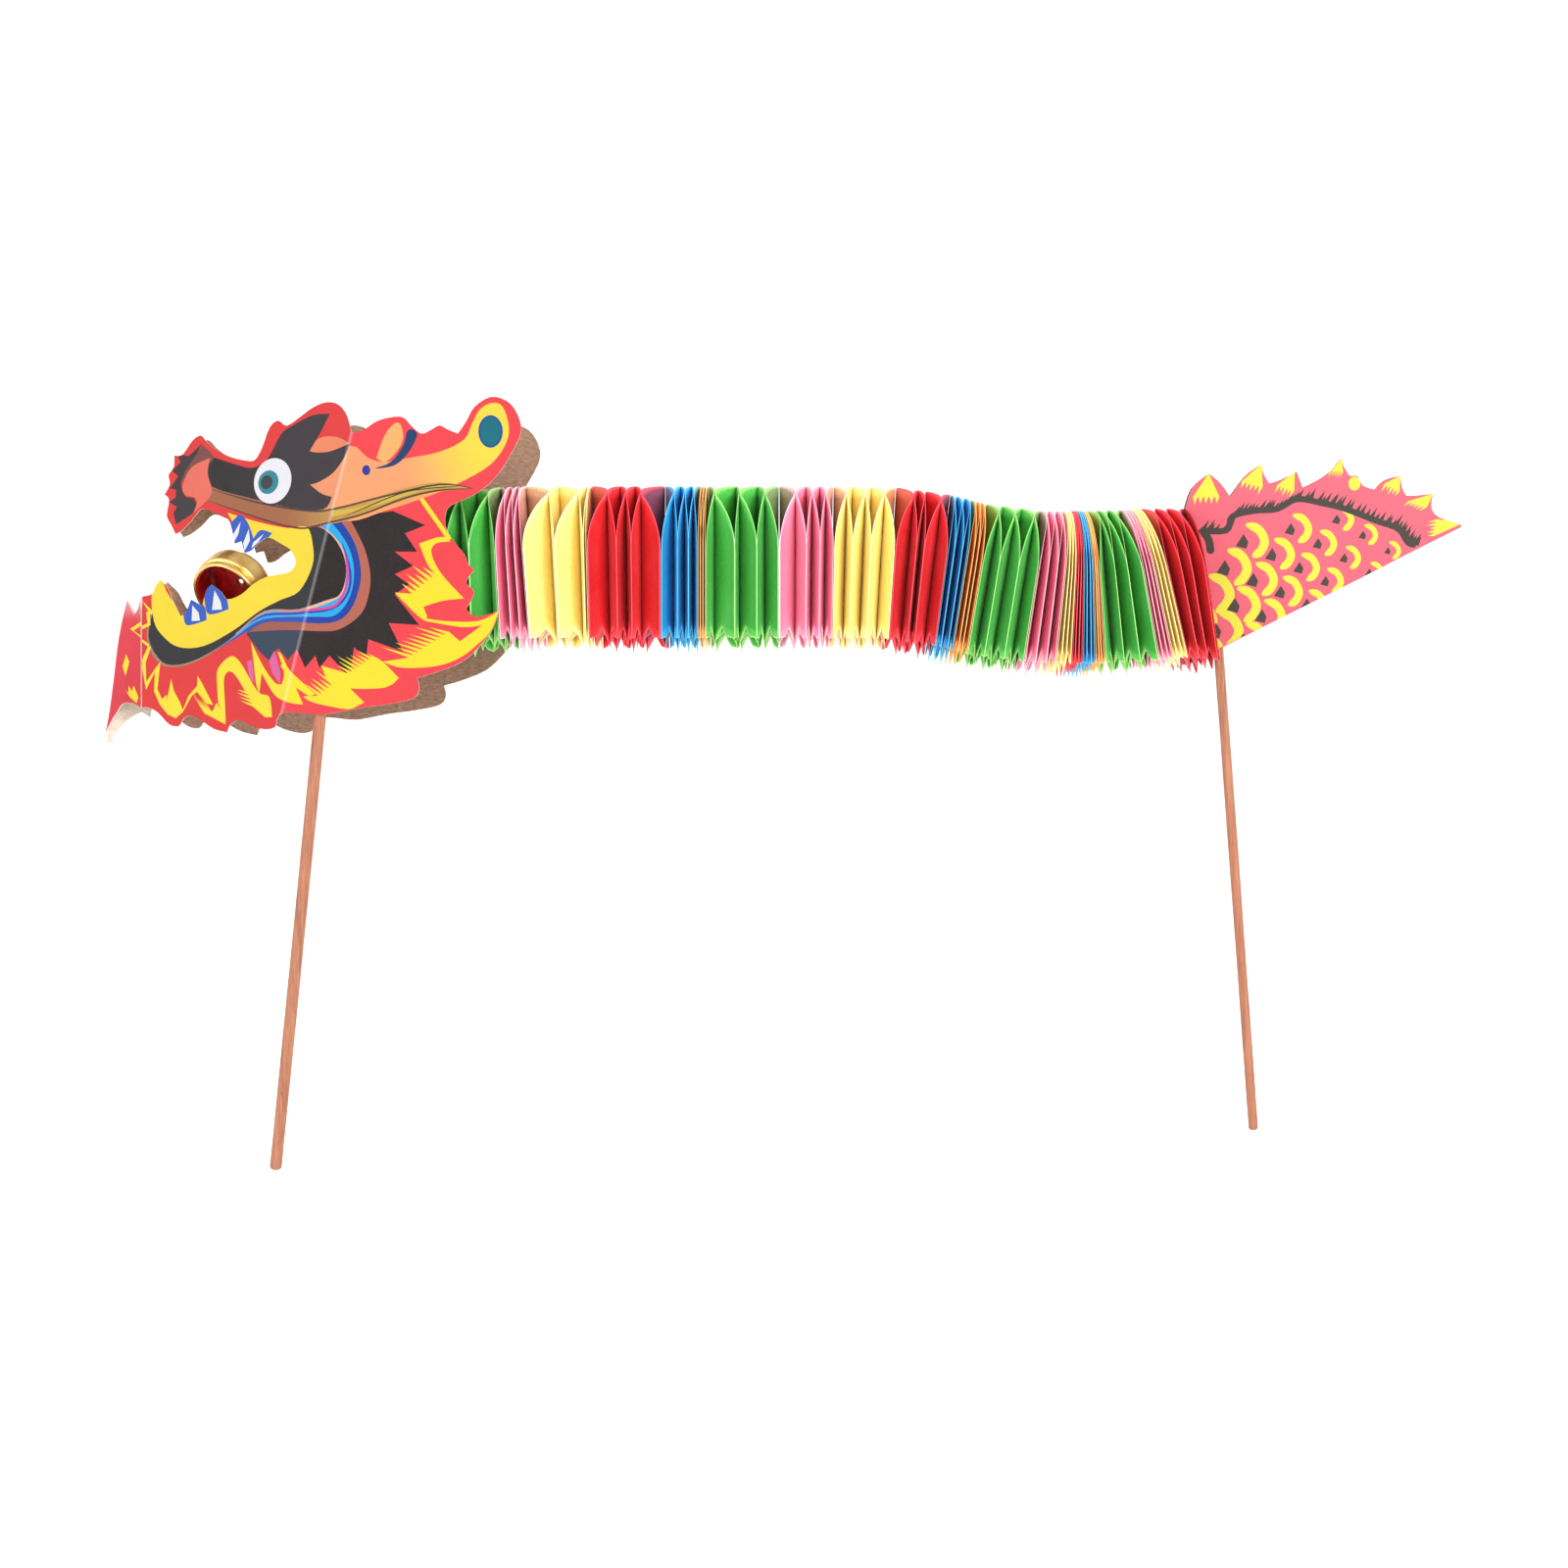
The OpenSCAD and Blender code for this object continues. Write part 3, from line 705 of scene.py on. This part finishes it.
def head_ink(key, x, z):
    """The ink over a flat point, in its colour on that side of the crease; in front of it the colours
    carry painted shade and reflection.
    """
    front = past_crease(x, z) > 0
    if key == "":
        # In front of the crease the red is painted darker, as shade.
        return printed("red_face_shaded", "E8302F") if front else printed("red_cheek", "F8474F")
    if key == "horn":
        if front:
            # The horn's front is its salmon painted darker, as shade.
            return printed("horn_front_shaded", "F79A6C")
        return printed("horn", "FFA873", "FFE04A", (-190, 0, 152), (-150, 0, 165))
    if key == "lip":
        return printed("lip", "A8663F", "CFA04E", (-250, 0, 130), (-212, 0, 134))
    if key == "patch":
        return printed("patch", "1B181B", "332931", (-285, 0, 155), (-240, 0, 160))
    if front:
        return printed(f"{key}_front", FRONT_PAINTED_LIGHT_INKS.get(key, INKS[key]))
    return printed(f"{key}_back", INKS[key])


KRAFT = kraft("kraft_inside", "A27C64")
CARD_RIM = kraft("card_edge", "E6D6CA", 0.1)
STRIP_INSIDE = kraft("strip_inside", "CDBBA9", 0.12)

# The chin strip runs from the jaw's front fold, from STRIP_TOP down to STRIP_FOOT, to the apex,
# where the halves meet: a line that goes down and forward from APEX.
STRIP_TOP = (-327.3, -2.5, 95)
STRIP_FOOT = (-325.2, -8.6, 38.7)
APEX = (-335, 94)
APEX_FORWARD, APEX_DROP = 11.5, 74
# The strip's thickness, and how far its outside is moved out and its inside back.
STRIP_CARD, STRIP_OUT, STRIP_BACK = 0.5, 0.05, 0.25


def strip_place(x, z):
    """The near strip's outside and inside."""
    t = (STRIP_TOP[2] - z) / (STRIP_TOP[2] - STRIP_FOOT[2])
    fold_x = STRIP_TOP[0] + (STRIP_FOOT[0] - STRIP_TOP[0]) * t
    fold_y = STRIP_TOP[1] + (STRIP_FOOT[1] - STRIP_TOP[1]) * t
    apex_x = APEX[0] - (APEX[1] - z) * APEX_FORWARD / APEX_DROP
    reach = min(max((fold_x - x) / (fold_x - apex_x), 0), 1)
    y = min(fold_y * (1 - reach), -STRIP_CARD) - STRIP_OUT
    return (x, y, z), (x + STRIP_BACK, min(y + STRIP_CARD, -MIDDLE_GAP), z)


STRIP_ART = [("flame", loop) for loop in (
    shape(-335, 66, -333, 62, -335, 55, -337, 60),
    shape(-335, 48, -333, 46, -333, 50, -331, 47, -330, 50, -327, 44, -328, 41, -332, 44),
    shape(-326, 83, -333, 79, -326, 74, -326, 75, -331, 78, -326, 81),
)]
STRIP_FRONT = (-327.3, 95, -329, 89, -331, 86, -333, 90, -335, 94, -338, 81, -340, 69, -342, 52)
NEAR_STRIP = curve(*STRIP_FRONT, -344, 37, -346, 26, -343, 32, -340, 36, -336, 41, -330, 41,
                   -325.2, 38.7, steps=3)
FAR_STRIP = curve(*STRIP_FRONT, -344, 37, -346, 21, -343, 22, -341, 27, -336, 33, -330, 37,
                  -325.2, 38.7, steps=3)


def strip_ink(key, x, z):
    """Red with a painted highlight that pales it towards the strip's top, under the flames."""
    if key:
        return printed("flame_back", "FFE732")
    # Painted highlight: the red pales towards white at the strip's top.
    return printed("strip_red_painted_highlight", "E83A48", "F6C9CF", (-336, 0, 82), (-334, 0, 100))


CREASE_LINE = [tuple((CREASE[0] + d * math.sin(CREASE_LEAN), CREASE[1] + d * math.cos(CREASE_LEAN))
                     for d in (-CREASE_DOWN, CREASE_UP))]
for side, far in (("left", False), ("right", True)):
    half = card(f"head_card_{side}", HEAD, HEAD_ART, head_place, head_ink, KRAFT, CARD_RIM,
                cuts=CREASE_LINE, mirrored=far)
    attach(half, "head")
    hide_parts(f"head_cheek_{side}", f"head_face_{side}", f"head_jaw_{side}")
    strip = card(f"chin_card_{side}", FAR_STRIP if far else NEAR_STRIP, STRIP_ART, strip_place,
                 strip_ink, STRIP_INSIDE, CARD_RIM, mirrored=far)
    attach(strip, "head")
    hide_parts(f"chin_strip_{side}")


# ---- Honeycomb body ----
# Seams between the colours, as in the CAD: place along X, height of the round top's centre, lean.
SEAMS = [
    (-174.5, 111.5, 0), (-142, 114, 3), (-128.5, 114.5, 4.5), (-97, 114.5, 1.5),
    (-60.5, 114.5, 0), (-42.5, 114.5, 0), (-38.5, 114.5, 0), (-2.5, 114.5, 0),
    (24.5, 114.5, -1), (54.5, 114, -4), (80, 110.5, -7.5), (89.5, 108, -9),
    (97, 106, -9.5), (124.5, 102.5, -9), (138, 102, -6), (143.5, 102, -3),
    (147.5, 102, -1), (152, 102, 1.5), (155.5, 102, 3.5), (177, 103, 10),
    (182.5, 103.5, 12), (189, 104, 13), (207.5, 103.5, 8)]
# Each paper's name, and its colours: on the leaf, for dark fibres and the painted shade in the folds,
# and for the painted highlight at the cut edge.
PAPERS = [("green", "4FB848", "1E6B2C", "B4E88C"), ("pink", "F48FA8", "C8506A", "FFD0DC"),
          ("yellow", "FBE58A", "D9B050", "FFF3C0"), ("red", "DD1F26", "8E0F12", "FF6070"),
          ("blue", "1E9AD6", "0A5C92", "6CCBF2"), ("orange", "F6A43C", "C87414", "FFD08A")]
# The uneven colours' two inner ridges and three valleys, as shares of the colour's width.
LEAVES = {1: (0.25, 0.6, 0.1, 0.4, 0.85), 2: (0.4, 0.7, 0.3, 0.6, 0.85),
          3: (0.5, 0.95, 0.4, 0.85, 0.98), 4: (0.4, 0.6, 0.25, 0.5, 0.7),
          5: (0.45, 0.75, 0.3, 0.6, 0.85), 7: (0.4, 0.7, 0.1, 0.45, 0.8),
          8: (0.5, 0.75, 0.3, 0.6, 0.85), 9: (0.3, 0.6, 0.2, 0.5, 0.8),
          10: (0.4, 0.55, 0.3, 0.5, 0.8), 13: (0.3, 0.65, 0.2, 0.5, 0.85),
          19: (0.35, 0.65, 0.25, 0.45, 0.75)}
TOP_RADIUS = 37
# The pointed foot: shares of the half width, each with its height from the round top's centre.
FOOT = [(0, -45), (0.1, -43), (0.25, -37), (0.38, -42), (0.5, -46.4), (0.62, -42), (0.75, -37),
        (0.86, -42), (1, -43)]
# The mesh's columns over the half width, as shares of it, and its rows.
COLUMNS = [0, 0.05, 0.1, 0.175, 0.25, 0.315, 0.38, 0.44, 0.5, 0.56, 0.62, 0.685, 0.75, 0.805,
           0.86, 0.9, 0.94, 0.97, 0.99, 1]
ROWS = 12
# The paper's thickness, and the distance between the middles of two sheets glued to each other.
SHEET = 0.14
GLUED = 0.16
# Shares of the half width where a ridge ends, and where the glued valley starts and ends.
RIDGE_END, VALLEY_START, VALLEY_END = 0.06, 0.46, 0.54
# How far the torn feet go up or down.
FOOT_JITTER = 0.2
# Waves beside the valleys: height, length over tau, and shift from sheet to sheet and across one.
RIPPLE, RIPPLE_LENGTH, RIPPLE_PHASE, RIPPLE_SHIFT = 0.05, 4, 3.6, 7
# The rim attribute is 1 on a cut edge, from this share of the half width on, VALLEY_RIM on the
# valleys and 0, the deepest colour, on the ridges. It places the paper's painted highlight on the cut
# edges and its painted shade in the folds.
CUT_EDGE, VALLEY_RIM = 0.985, 0.8
# The last colour is slit for the tail card: half the slit's width, and its top in the front sheets.
# Sheets whose ridge and valley add up to more than SLIT_FROM are slit over their whole height.
SLIT_HALF, SLIT_TOP, SLIT_FROM = 3.6, -28, 0.5


def foot_height(share):
    """The height of a sheet's foot at that share of the half width."""
    for (a, low), (b, high) in zip(FOOT, FOOT[1:]):
        if share <= b:
            return low + (high - low) * (share - a) / (b - a)
    return FOOT[-1][1]


def hump(share):
    """0 on the glued valley line, 1 on the ridges where a leaf meets the next one."""
    if share >= VALLEY_END:
        return (share * share - VALLEY_END ** 2) / (1 - VALLEY_END ** 2)
    if share > VALLEY_START:
        return 0.0
    fall = max(share - RIDGE_END, 0) / (VALLEY_START - RIDGE_END)
    return 0.5 + 0.5 * math.cos(math.pi * fall)


def seam_frame(first, second, s):
    """The place, height, sine and cosine of the lean at share s between two seams."""
    x, z, lean = (a + (b - a) * s for a, b in zip(first, second))
    angle = math.radians(lean)
    return x, z, math.sin(angle), math.cos(angle)


def body_sheet(points, faces, rims, seams, ridge, valley, side, slit, chance):
    """One closed thin sheet between a ridge and a valley place, both shares of the colour's width.
    side is -1 for the sheet in front of its valley and 1 for the one behind it."""
    start = len(points)
    across = [-c for c in reversed(COLUMNS[1:])] + COLUMNS
    jitter = [chance.uniform(-FOOT_JITTER, FOOT_JITTER) for _ in across]
    phase = RIPPLE_PHASE * chance.uniform(-1, 1)
    grid = []
    for i, share in enumerate(across):
        y = share * TOP_RADIUS
        lift = math.sqrt(max(TOP_RADIUS ** 2 - y * y, 0))
        raised = hump(abs(share))
        low = foot_height(abs(share)) + jitter[i]
        column = []
        for k in range(ROWS + 1):
            t = k / ROWS
            h = low + (lift - low) * t
            wave = math.sin(h / RIPPLE_LENGTH + phase + share * RIPPLE_SHIFT)
            ripple = RIPPLE * wave * (1 - raised)
            s = valley + (ridge - valley) * raised
            # rim marks where the paper's material paints its highlight (the cut edges) and its shade
            # (the ridges).
            cut = k in (0, ROWS) or abs(share) > CUT_EDGE
            rim = 1.0 if cut else VALLEY_RIM * (1 - raised)
            ends = []
            for face in (-1, 1):
                x, z, sine, cosine = seam_frame(*seams, s)
                nudge = ripple + side * GLUED / 2 + face * SHEET / 2
                ends.append((x - sine * h + cosine * nudge, y, z + cosine * h + sine * nudge))
            column.append((ends, rim))
        grid.append(column)
    wide, high = len(grid), ROWS + 1
    for column in grid:
        for ends, rim in column:
            points += [row(*ends[0]), row(*ends[1])]
            rims += [rim, rim]

    def at(i, k, face):
        return start + 2 * (i * high + k) + face

    def open_cell(i, k):
        middle = abs(across[i] + across[i + 1]) / 2 * TOP_RADIUS
        height = foot_height(abs(across[i])) + (TOP_RADIUS - foot_height(0)) * (k + 0.5) / ROWS
        return slit and middle < SLIT_HALF and (valley + ridge > SLIT_FROM or height < SLIT_TOP)

    cells = {(i, k) for i in range(wide - 1) for k in range(ROWS) if not open_cell(i, k)}
    for i, k in sorted(cells):
        faces.append((at(i, k, 0), at(i, k + 1, 0), at(i + 1, k + 1, 0), at(i + 1, k, 0)))
        faces.append((at(i, k, 1), at(i + 1, k, 1), at(i + 1, k + 1, 1), at(i, k + 1, 1)))
        for di, dk, a, b in ((-1, 0, (0, 1), (0, 0)), (1, 0, (1, 0), (1, 1)),
                             (0, -1, (0, 0), (1, 0)), (0, 1, (1, 1), (0, 1))):
            if (i + di, k + dk) not in cells:
                faces.append((at(i + a[0], k + a[1], 0), at(i + b[0], k + b[1], 0),
                              at(i + b[0], k + b[1], 1), at(i + a[0], k + a[1], 1)))


# Where two colours meet, a leaf mixes these shares of its own and its neighbour's, a little
# dimmed, over this share of the half width.
OWN, NEIGHBOUR, DIMMED, MIXED_OVER = 0.62, 0.38, 0.92, 0.5
# How far the end leaves stay from a seam, and how far an even colour's folds may wander.
SEAM_GAP, RIDGE_DRIFT, VALLEY_DRIFT = 0.35, 0.05, 0.04


def mixed(first, second):
    """The hex colour of the first paper's leaf that touches the second."""
    return "".join("%02X" % round((a * OWN + b * NEIGHBOUR) * DIMMED)
                   for a, b in zip(bytes.fromhex(first), bytes.fromhex(second)))


TISSUES = {name: tissue(f"paper_{name}", *codes) for name, *codes in PAPERS}
COLOURS = len(PAPERS)
EDGES = {}
for n in range(COLOURS):
    for m in ((n + 1) % COLOURS, (n - 1) % COLOURS):
        code = mixed(PAPERS[n][1], PAPERS[m][1])
        # The seam leaves take their mixed colour painted darker for fibres and fold shade, and their
        # paper's painted highlight at the cut edge.
        EDGES[n, m] = tissue(f"edge_{PAPERS[n][0]}_{PAPERS[m][0]}", code,
                             darker(code, 0.35), PAPERS[n][3])

chance = random.Random(21)
LAST = len(SEAMS) - 1
for number in range(1, LAST + 1):
    hue = (number - 1) % COLOURS
    name = PAPERS[hue][0]
    seams = SEAMS[number - 1], SEAMS[number]
    width = SEAMS[number][0] - SEAMS[number - 1][0]
    if number in LEAVES:
        r1, r2, *valleys = LEAVES[number]
        ridges = [0, r1, r2, 1]
    else:
        inner = [third / 3 + chance.uniform(-RIDGE_DRIFT, RIDGE_DRIFT) for third in (1, 2)]
        ridges = [0, *inner, 1]
        valleys = [(a + b) / 2 + chance.uniform(-VALLEY_DRIFT, VALLEY_DRIFT)
                   for a, b in zip(ridges, ridges[1:])]
    margin = SEAM_GAP / width
    ridges[0], ridges[3] = margin, 1 - margin
    points, faces, rims, ends = [], [], [], []
    for j in range(3):
        for side, ridge in ((-1, ridges[j]), (1, ridges[j + 1])):
            before = len(faces)
            body_sheet(points, faces, rims, seams, ridge, valleys[j], side, number == LAST, chance)
            ends.append((before, len(faces)))
    inks = [TISSUES[name], EDGES[hue, (hue - 1) % COLOURS], EDGES[hue, (hue + 1) % COLOURS]]
    numbers = [0] * len(faces)
    for (a, b), paper in ((ends[0], 1), (ends[-1], 2)):
        for f in range(a, b):
            middle = sum(points[i].y for i in faces[f]) / 4 - row(0, 0, 0).y
            if abs(middle) < MIXED_OVER * TOP_RADIUS / 1000:
                numbers[f] = paper
    node = f"pad_{number:02d}_{name}"
    pad = build(f"honeycomb_{number:02d}_{name}", points, faces, inks, numbers, smooth=True)
    attribute = pad.data.attributes.new("rim", "FLOAT", "POINT")
    attribute.data.foreach_set("value", rims)
    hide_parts(node)
    middle = [(a + b) / 2 for a, b in zip(*seams)]
    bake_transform(pad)


# ---- Tail ----
TAIL = curve(
    201, 62, 205, 61, 221, 69, 260, 88, 300, 108, 346, 132, 334, 136, 330, 141, 331, 148,
    322, 147, 317, 147, 315, 151, 314, 157, 306, 155, 301, 150, 295, 152, 292, 157, 288, 157,
    285, 162, 284, 166, 279, 160, 272, 155, 264, 151, 261, 159, 253, 155, 247, 153, 244, 158,
    243, 163, 235, 157, 227, 146, 222, 153, 216, 158, 208, 151, 204, 139, 202, 130, 202, 90,
    steps=3, sharp=50)
# The halves stand apart up to the root, where the stick enters, and nearly touch at the tip.
TAIL_ROOT, TAIL_TIP = 220, 346
ROOT_GAP, TIP_GAP = 2.6, 0.05


def tail_place(x, z):
    """The near half's outside and inside."""
    lean = max(x - TAIL_ROOT, 0) / (TAIL_TIP - TAIL_ROOT)
    inner = -ROOT_GAP + lean * (ROOT_GAP - TIP_GAP)
    return (x, inner - CARD, z), (x, inner, z)


def moved(loop, x, z, size):
    """The loop, scaled to that size and moved to the point."""
    return [(x + a * size, z + b * size) for a, b in loop]


def brushed_tip(tip, left, right, chance):
    """A yellow brush mark that starts at the card's tip and frays downwards."""
    way = ((left[0] + right[0]) / 2 - tip[0], (left[1] + right[1]) / 2 - tip[1])
    long = math.hypot(*way)
    way = way[0] / long, way[1] / long
    return [tip] + bristles(left, right, 5, 4.5, way, chance)


def hairs(count, chance, *numbers):
    """Short dark hairs that lean up and back from a line."""
    line = curve(*numbers, closed=False)
    loops = []
    for i in range(count):
        t = (i + chance.random()) / count * (len(line) - 1)
        k = min(int(t), len(line) - 2)
        x, z = (line[k][n] + (line[k + 1][n] - line[k][n]) * (t - k) for n in (0, 1))
        reach = chance.uniform(3.5, 6.5)
        loops.append([(x - 1.6, z - 0.5), (x + 1.6, z - 0.5), (x + reach * 0.7, z + reach)])
    return loops


chance = random.Random(13)
BAND = (212, 129, 225, 129, 228, 136, 239, 139, 251, 140, 261, 145, 274, 143, 286, 140, 302, 134,
        313, 130, 318, 123, 322, 122)
ROOT_LINE = (212, 130, 216, 124, 217, 117)
# A scale is a crescent and a dark fleck beside it, drawn at size 1.
CRESCENT = stroke(0.27, 0, 0, 0.38, -0.14, 0.58, -0.5, 0.46, -0.82, 0.2, -1)
FLECK = shape(-0.5, -0.4, 0.1, 0.5, 0.45, -0.1, 0.3, -0.6)
RANKS, PLACES = range(-2, 6), range(9)
SMALLEST_SCALE = 3


def scale_at(rank, place):
    """Where a scale starts. The ranks fan out, and their scales draw closer, towards the tip."""
    x = 216 + 9.5 * rank + 14.8 * place - 0.3 * place * place
    z = 106 + 13 * rank - 6.3 * place - 0.6 * rank * place
    return x, z


def under_band(x, z):
    """True for a place behind the root, above the tail's lower edge and below its dark band."""
    return x >= 206 and 63 + (x - 205) / 2 < z < 143 - max(x - 285, 0) * 0.55


TAIL_ART = []
for rank in RANKS:
    for place in PLACES:
        x, z = scale_at(rank, place)
        size = 18.5 - 0.11 * (x - 216)
        if size < SMALLEST_SCALE or not under_band(x, z):
            continue
        TAIL_ART.append(("flame", moved(CRESCENT, x, z, size)))
        fleck = moved(FLECK, x - 1.8 * size / 16, z - 8 * size / 16, size * 0.42)
        TAIL_ART.append(("fleck", fleck))
TAIL_ART.append(("dark_line", stroke(3.2, *BAND, taper=(0.9, 0.9))))
TAIL_ART.append(("dark_line", stroke(4, *ROOT_LINE, taper=(0.9, 0.4))))
TAIL_ART += [("dark_line", loop) for loop in hairs(64, chance, *BAND)]
# Each tip's yellow mark: the tip, and the left and right ends of its frayed edge.
for tip, left, right in (((216, 158), (208, 146), (222, 146)), ((243, 163), (233, 154), (244, 151)),
                         ((260, 159), (251, 152), (260, 149)), ((284, 166), (278, 160), (285, 159)),
                         ((314, 157), (306, 153), (314, 149)), ((331, 148), (318, 144), (328, 141)),
                         ((346, 133), (333, 135), (331, 126))):
    TAIL_ART.append(("flame", brushed_tip(tip, left, right, chance)))
TAIL_ART.append(("flame", oval(290.5, 153, 3, 3.5, 24)))
# The tail card's pink is its red ink painted paler with a painted sheen from the light above.
TAIL_INKS = {"flame": ("tail_yellow", "FFFB4E"), "dark_line": ("tail_band", "4A443D"),
             "fleck": ("tail_fleck", "4E4840"), "": ("tail_red_painted_sheen", "FF7183")}


def tail_ink(key, x, z):
    return printed(*TAIL_INKS[key])


for side, far in (("left", False), ("right", True)):
    half = card(f"tail_half_{side}", TAIL, TAIL_ART, tail_place, tail_ink, KRAFT, CARD_RIM,
                mirrored=far)
    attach(half, "seg_22")
    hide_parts(f"tail_card_{side}")


# ---- Sticks ----
STICK_LENGTH = 300
SIDES, STEPS = 28, 60
# The softened end: distances from it in radii, each with its share of the radius.
SOFT_END = ((0, 0.5), (0.2, 0.86), (0.5, 1))
# The bow, the slow swelling and the flats round a dowel, and how much thinner it is above its grip.
BOW, SWELL, SWELL_LENGTH, FLATS = 0.12, 0.01, 17, 0.012
GRIP_TOP, THINNER = 250, 0.06


def stick(name, foot, lean, radius, node, body, seed):
    """A dowel with softened ends, a little uneven and a little bowed."""
    chance = random.Random(seed)
    ends = [(radius * d, share) for d, share in SOFT_END]
    rings = ends + [(STICK_LENGTH * i / STEPS, 1) for i in range(1, STEPS)]
    rings += [(STICK_LENGTH - d, share) for d, share in reversed(ends)]
    flats = [chance.uniform(-FLATS, FLATS) for _ in range(SIDES)]
    points, faces = [], []
    for d, share in rings:
        bow = BOW * math.sin(math.pi * d / STICK_LENGTH)
        swell = 1 + SWELL * math.sin(d / SWELL_LENGTH + seed) - (THINNER if d > GRIP_TOP else 0)
        centre = foot + d * Vector((math.sin(lean), 0, math.cos(lean)))
        for i in range(SIDES):
            a = math.tau * i / SIDES
            r = radius * share * swell * (1 + flats[i] - FLATS)
            points.append(row(centre.x + math.cos(lean) * (r * math.cos(a) + bow),
                              centre.y + r * math.sin(a),
                              centre.z - math.sin(lean) * (r * math.cos(a) + bow)))
    for j in range(len(rings) - 1):
        low, high = j * SIDES, (j + 1) * SIDES
        for i in range(SIDES):
            k = (i + 1) % SIDES
            faces.append((low + i, low + k, high + k, high + i))
    last = (len(rings) - 1) * SIDES
    faces += [tuple(range(SIDES))[::-1], tuple(range(last, last + SIDES))]
    piece = build(name, points, faces, [STICK_WOOD], [0] * len(faces), smooth=True)
    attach(piece, body)
    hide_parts(node)


STICK_WOOD = wood("stick_wood")
stick("head_dowel", HEAD_FOOT, HEAD_LEAN, 3, "head_stick", "head", 3)
stick("tail_dowel", TAIL_FOOT, -TAIL_LEAN, 2.5, "tail_stick", "seg_22", 5)


# ---- Better materials for the CAD pieces that stay ----
FINISHES = {
    "head_stick_tape": clear("clear_tape", "E4E8EC", 0.16),
    "mouth_cup": metal("gold", "F0CC84", "D8A758", 0.26),
    "mouth_cup_liner": lacquer("red_lacquer"),
    "mouth_cup_glue": clear("clear_glue", "F2F2EC", 0.12),
    "tail_stick_glue": clear("tail_glue", "EFEFEA", 0.14),
    "mouth_bridge": KRAFT,
    "front_board": kraft("kraft_board", "B39A7C"),
    "rear_board": kraft("red_board", "BC1418", 0.2),
    # The fold takes the tail card's red, painted paler with a painted sheen.
    "tail_fold": printed("tail_red_painted_sheen", "FF7183"),
}
for node, material in FINISHES.items():
    for place in NODES[node].material_slots:
        place.material = material


# ---- Floor ----
# A pale floor that sweeps up into a wall well behind the puppet.
LOWEST = cad_box[0][2] - 0.02
FRONT, BEND, SWEEP, TOP = -4, 3, 1.5, 6
HALF_FLOOR, SWEEP_STEPS = 9, 12
angles = [math.pi / 2 * i / SWEEP_STEPS for i in range(SWEEP_STEPS + 1)]
profile = [(BEND + SWEEP * math.sin(a), SWEEP * (1 - math.cos(a))) for a in angles]
profile = [(FRONT, 0)] + profile + [(BEND + SWEEP, TOP)]
mesh = bpy.data.meshes.new("floor")
mesh.from_pydata([(x, y, LOWEST + z) for y, z in profile for x in (-HALF_FLOOR, HALF_FLOOR)], [],
                 [(2 * i, 2 * i + 1, 2 * i + 3, 2 * i + 2) for i in range(len(profile) - 1)])
mesh.polygons.foreach_set("use_smooth", [True] * len(mesh.polygons))
floor_paint = Nodes("floor_paint")
floor_paint.colour(floor_paint.mix(floor_paint.noise(3), linear("FFFFFF"), linear("FBFBFA")))
floor_paint.set(Roughness=0.9, Emission_Color=(1, 1, 1, 1), Emission_Strength=0.22)
mesh.materials.append(floor_paint.material)
floor = bpy.data.objects.new("floor", mesh)
bpy.context.collection.objects.link(floor)
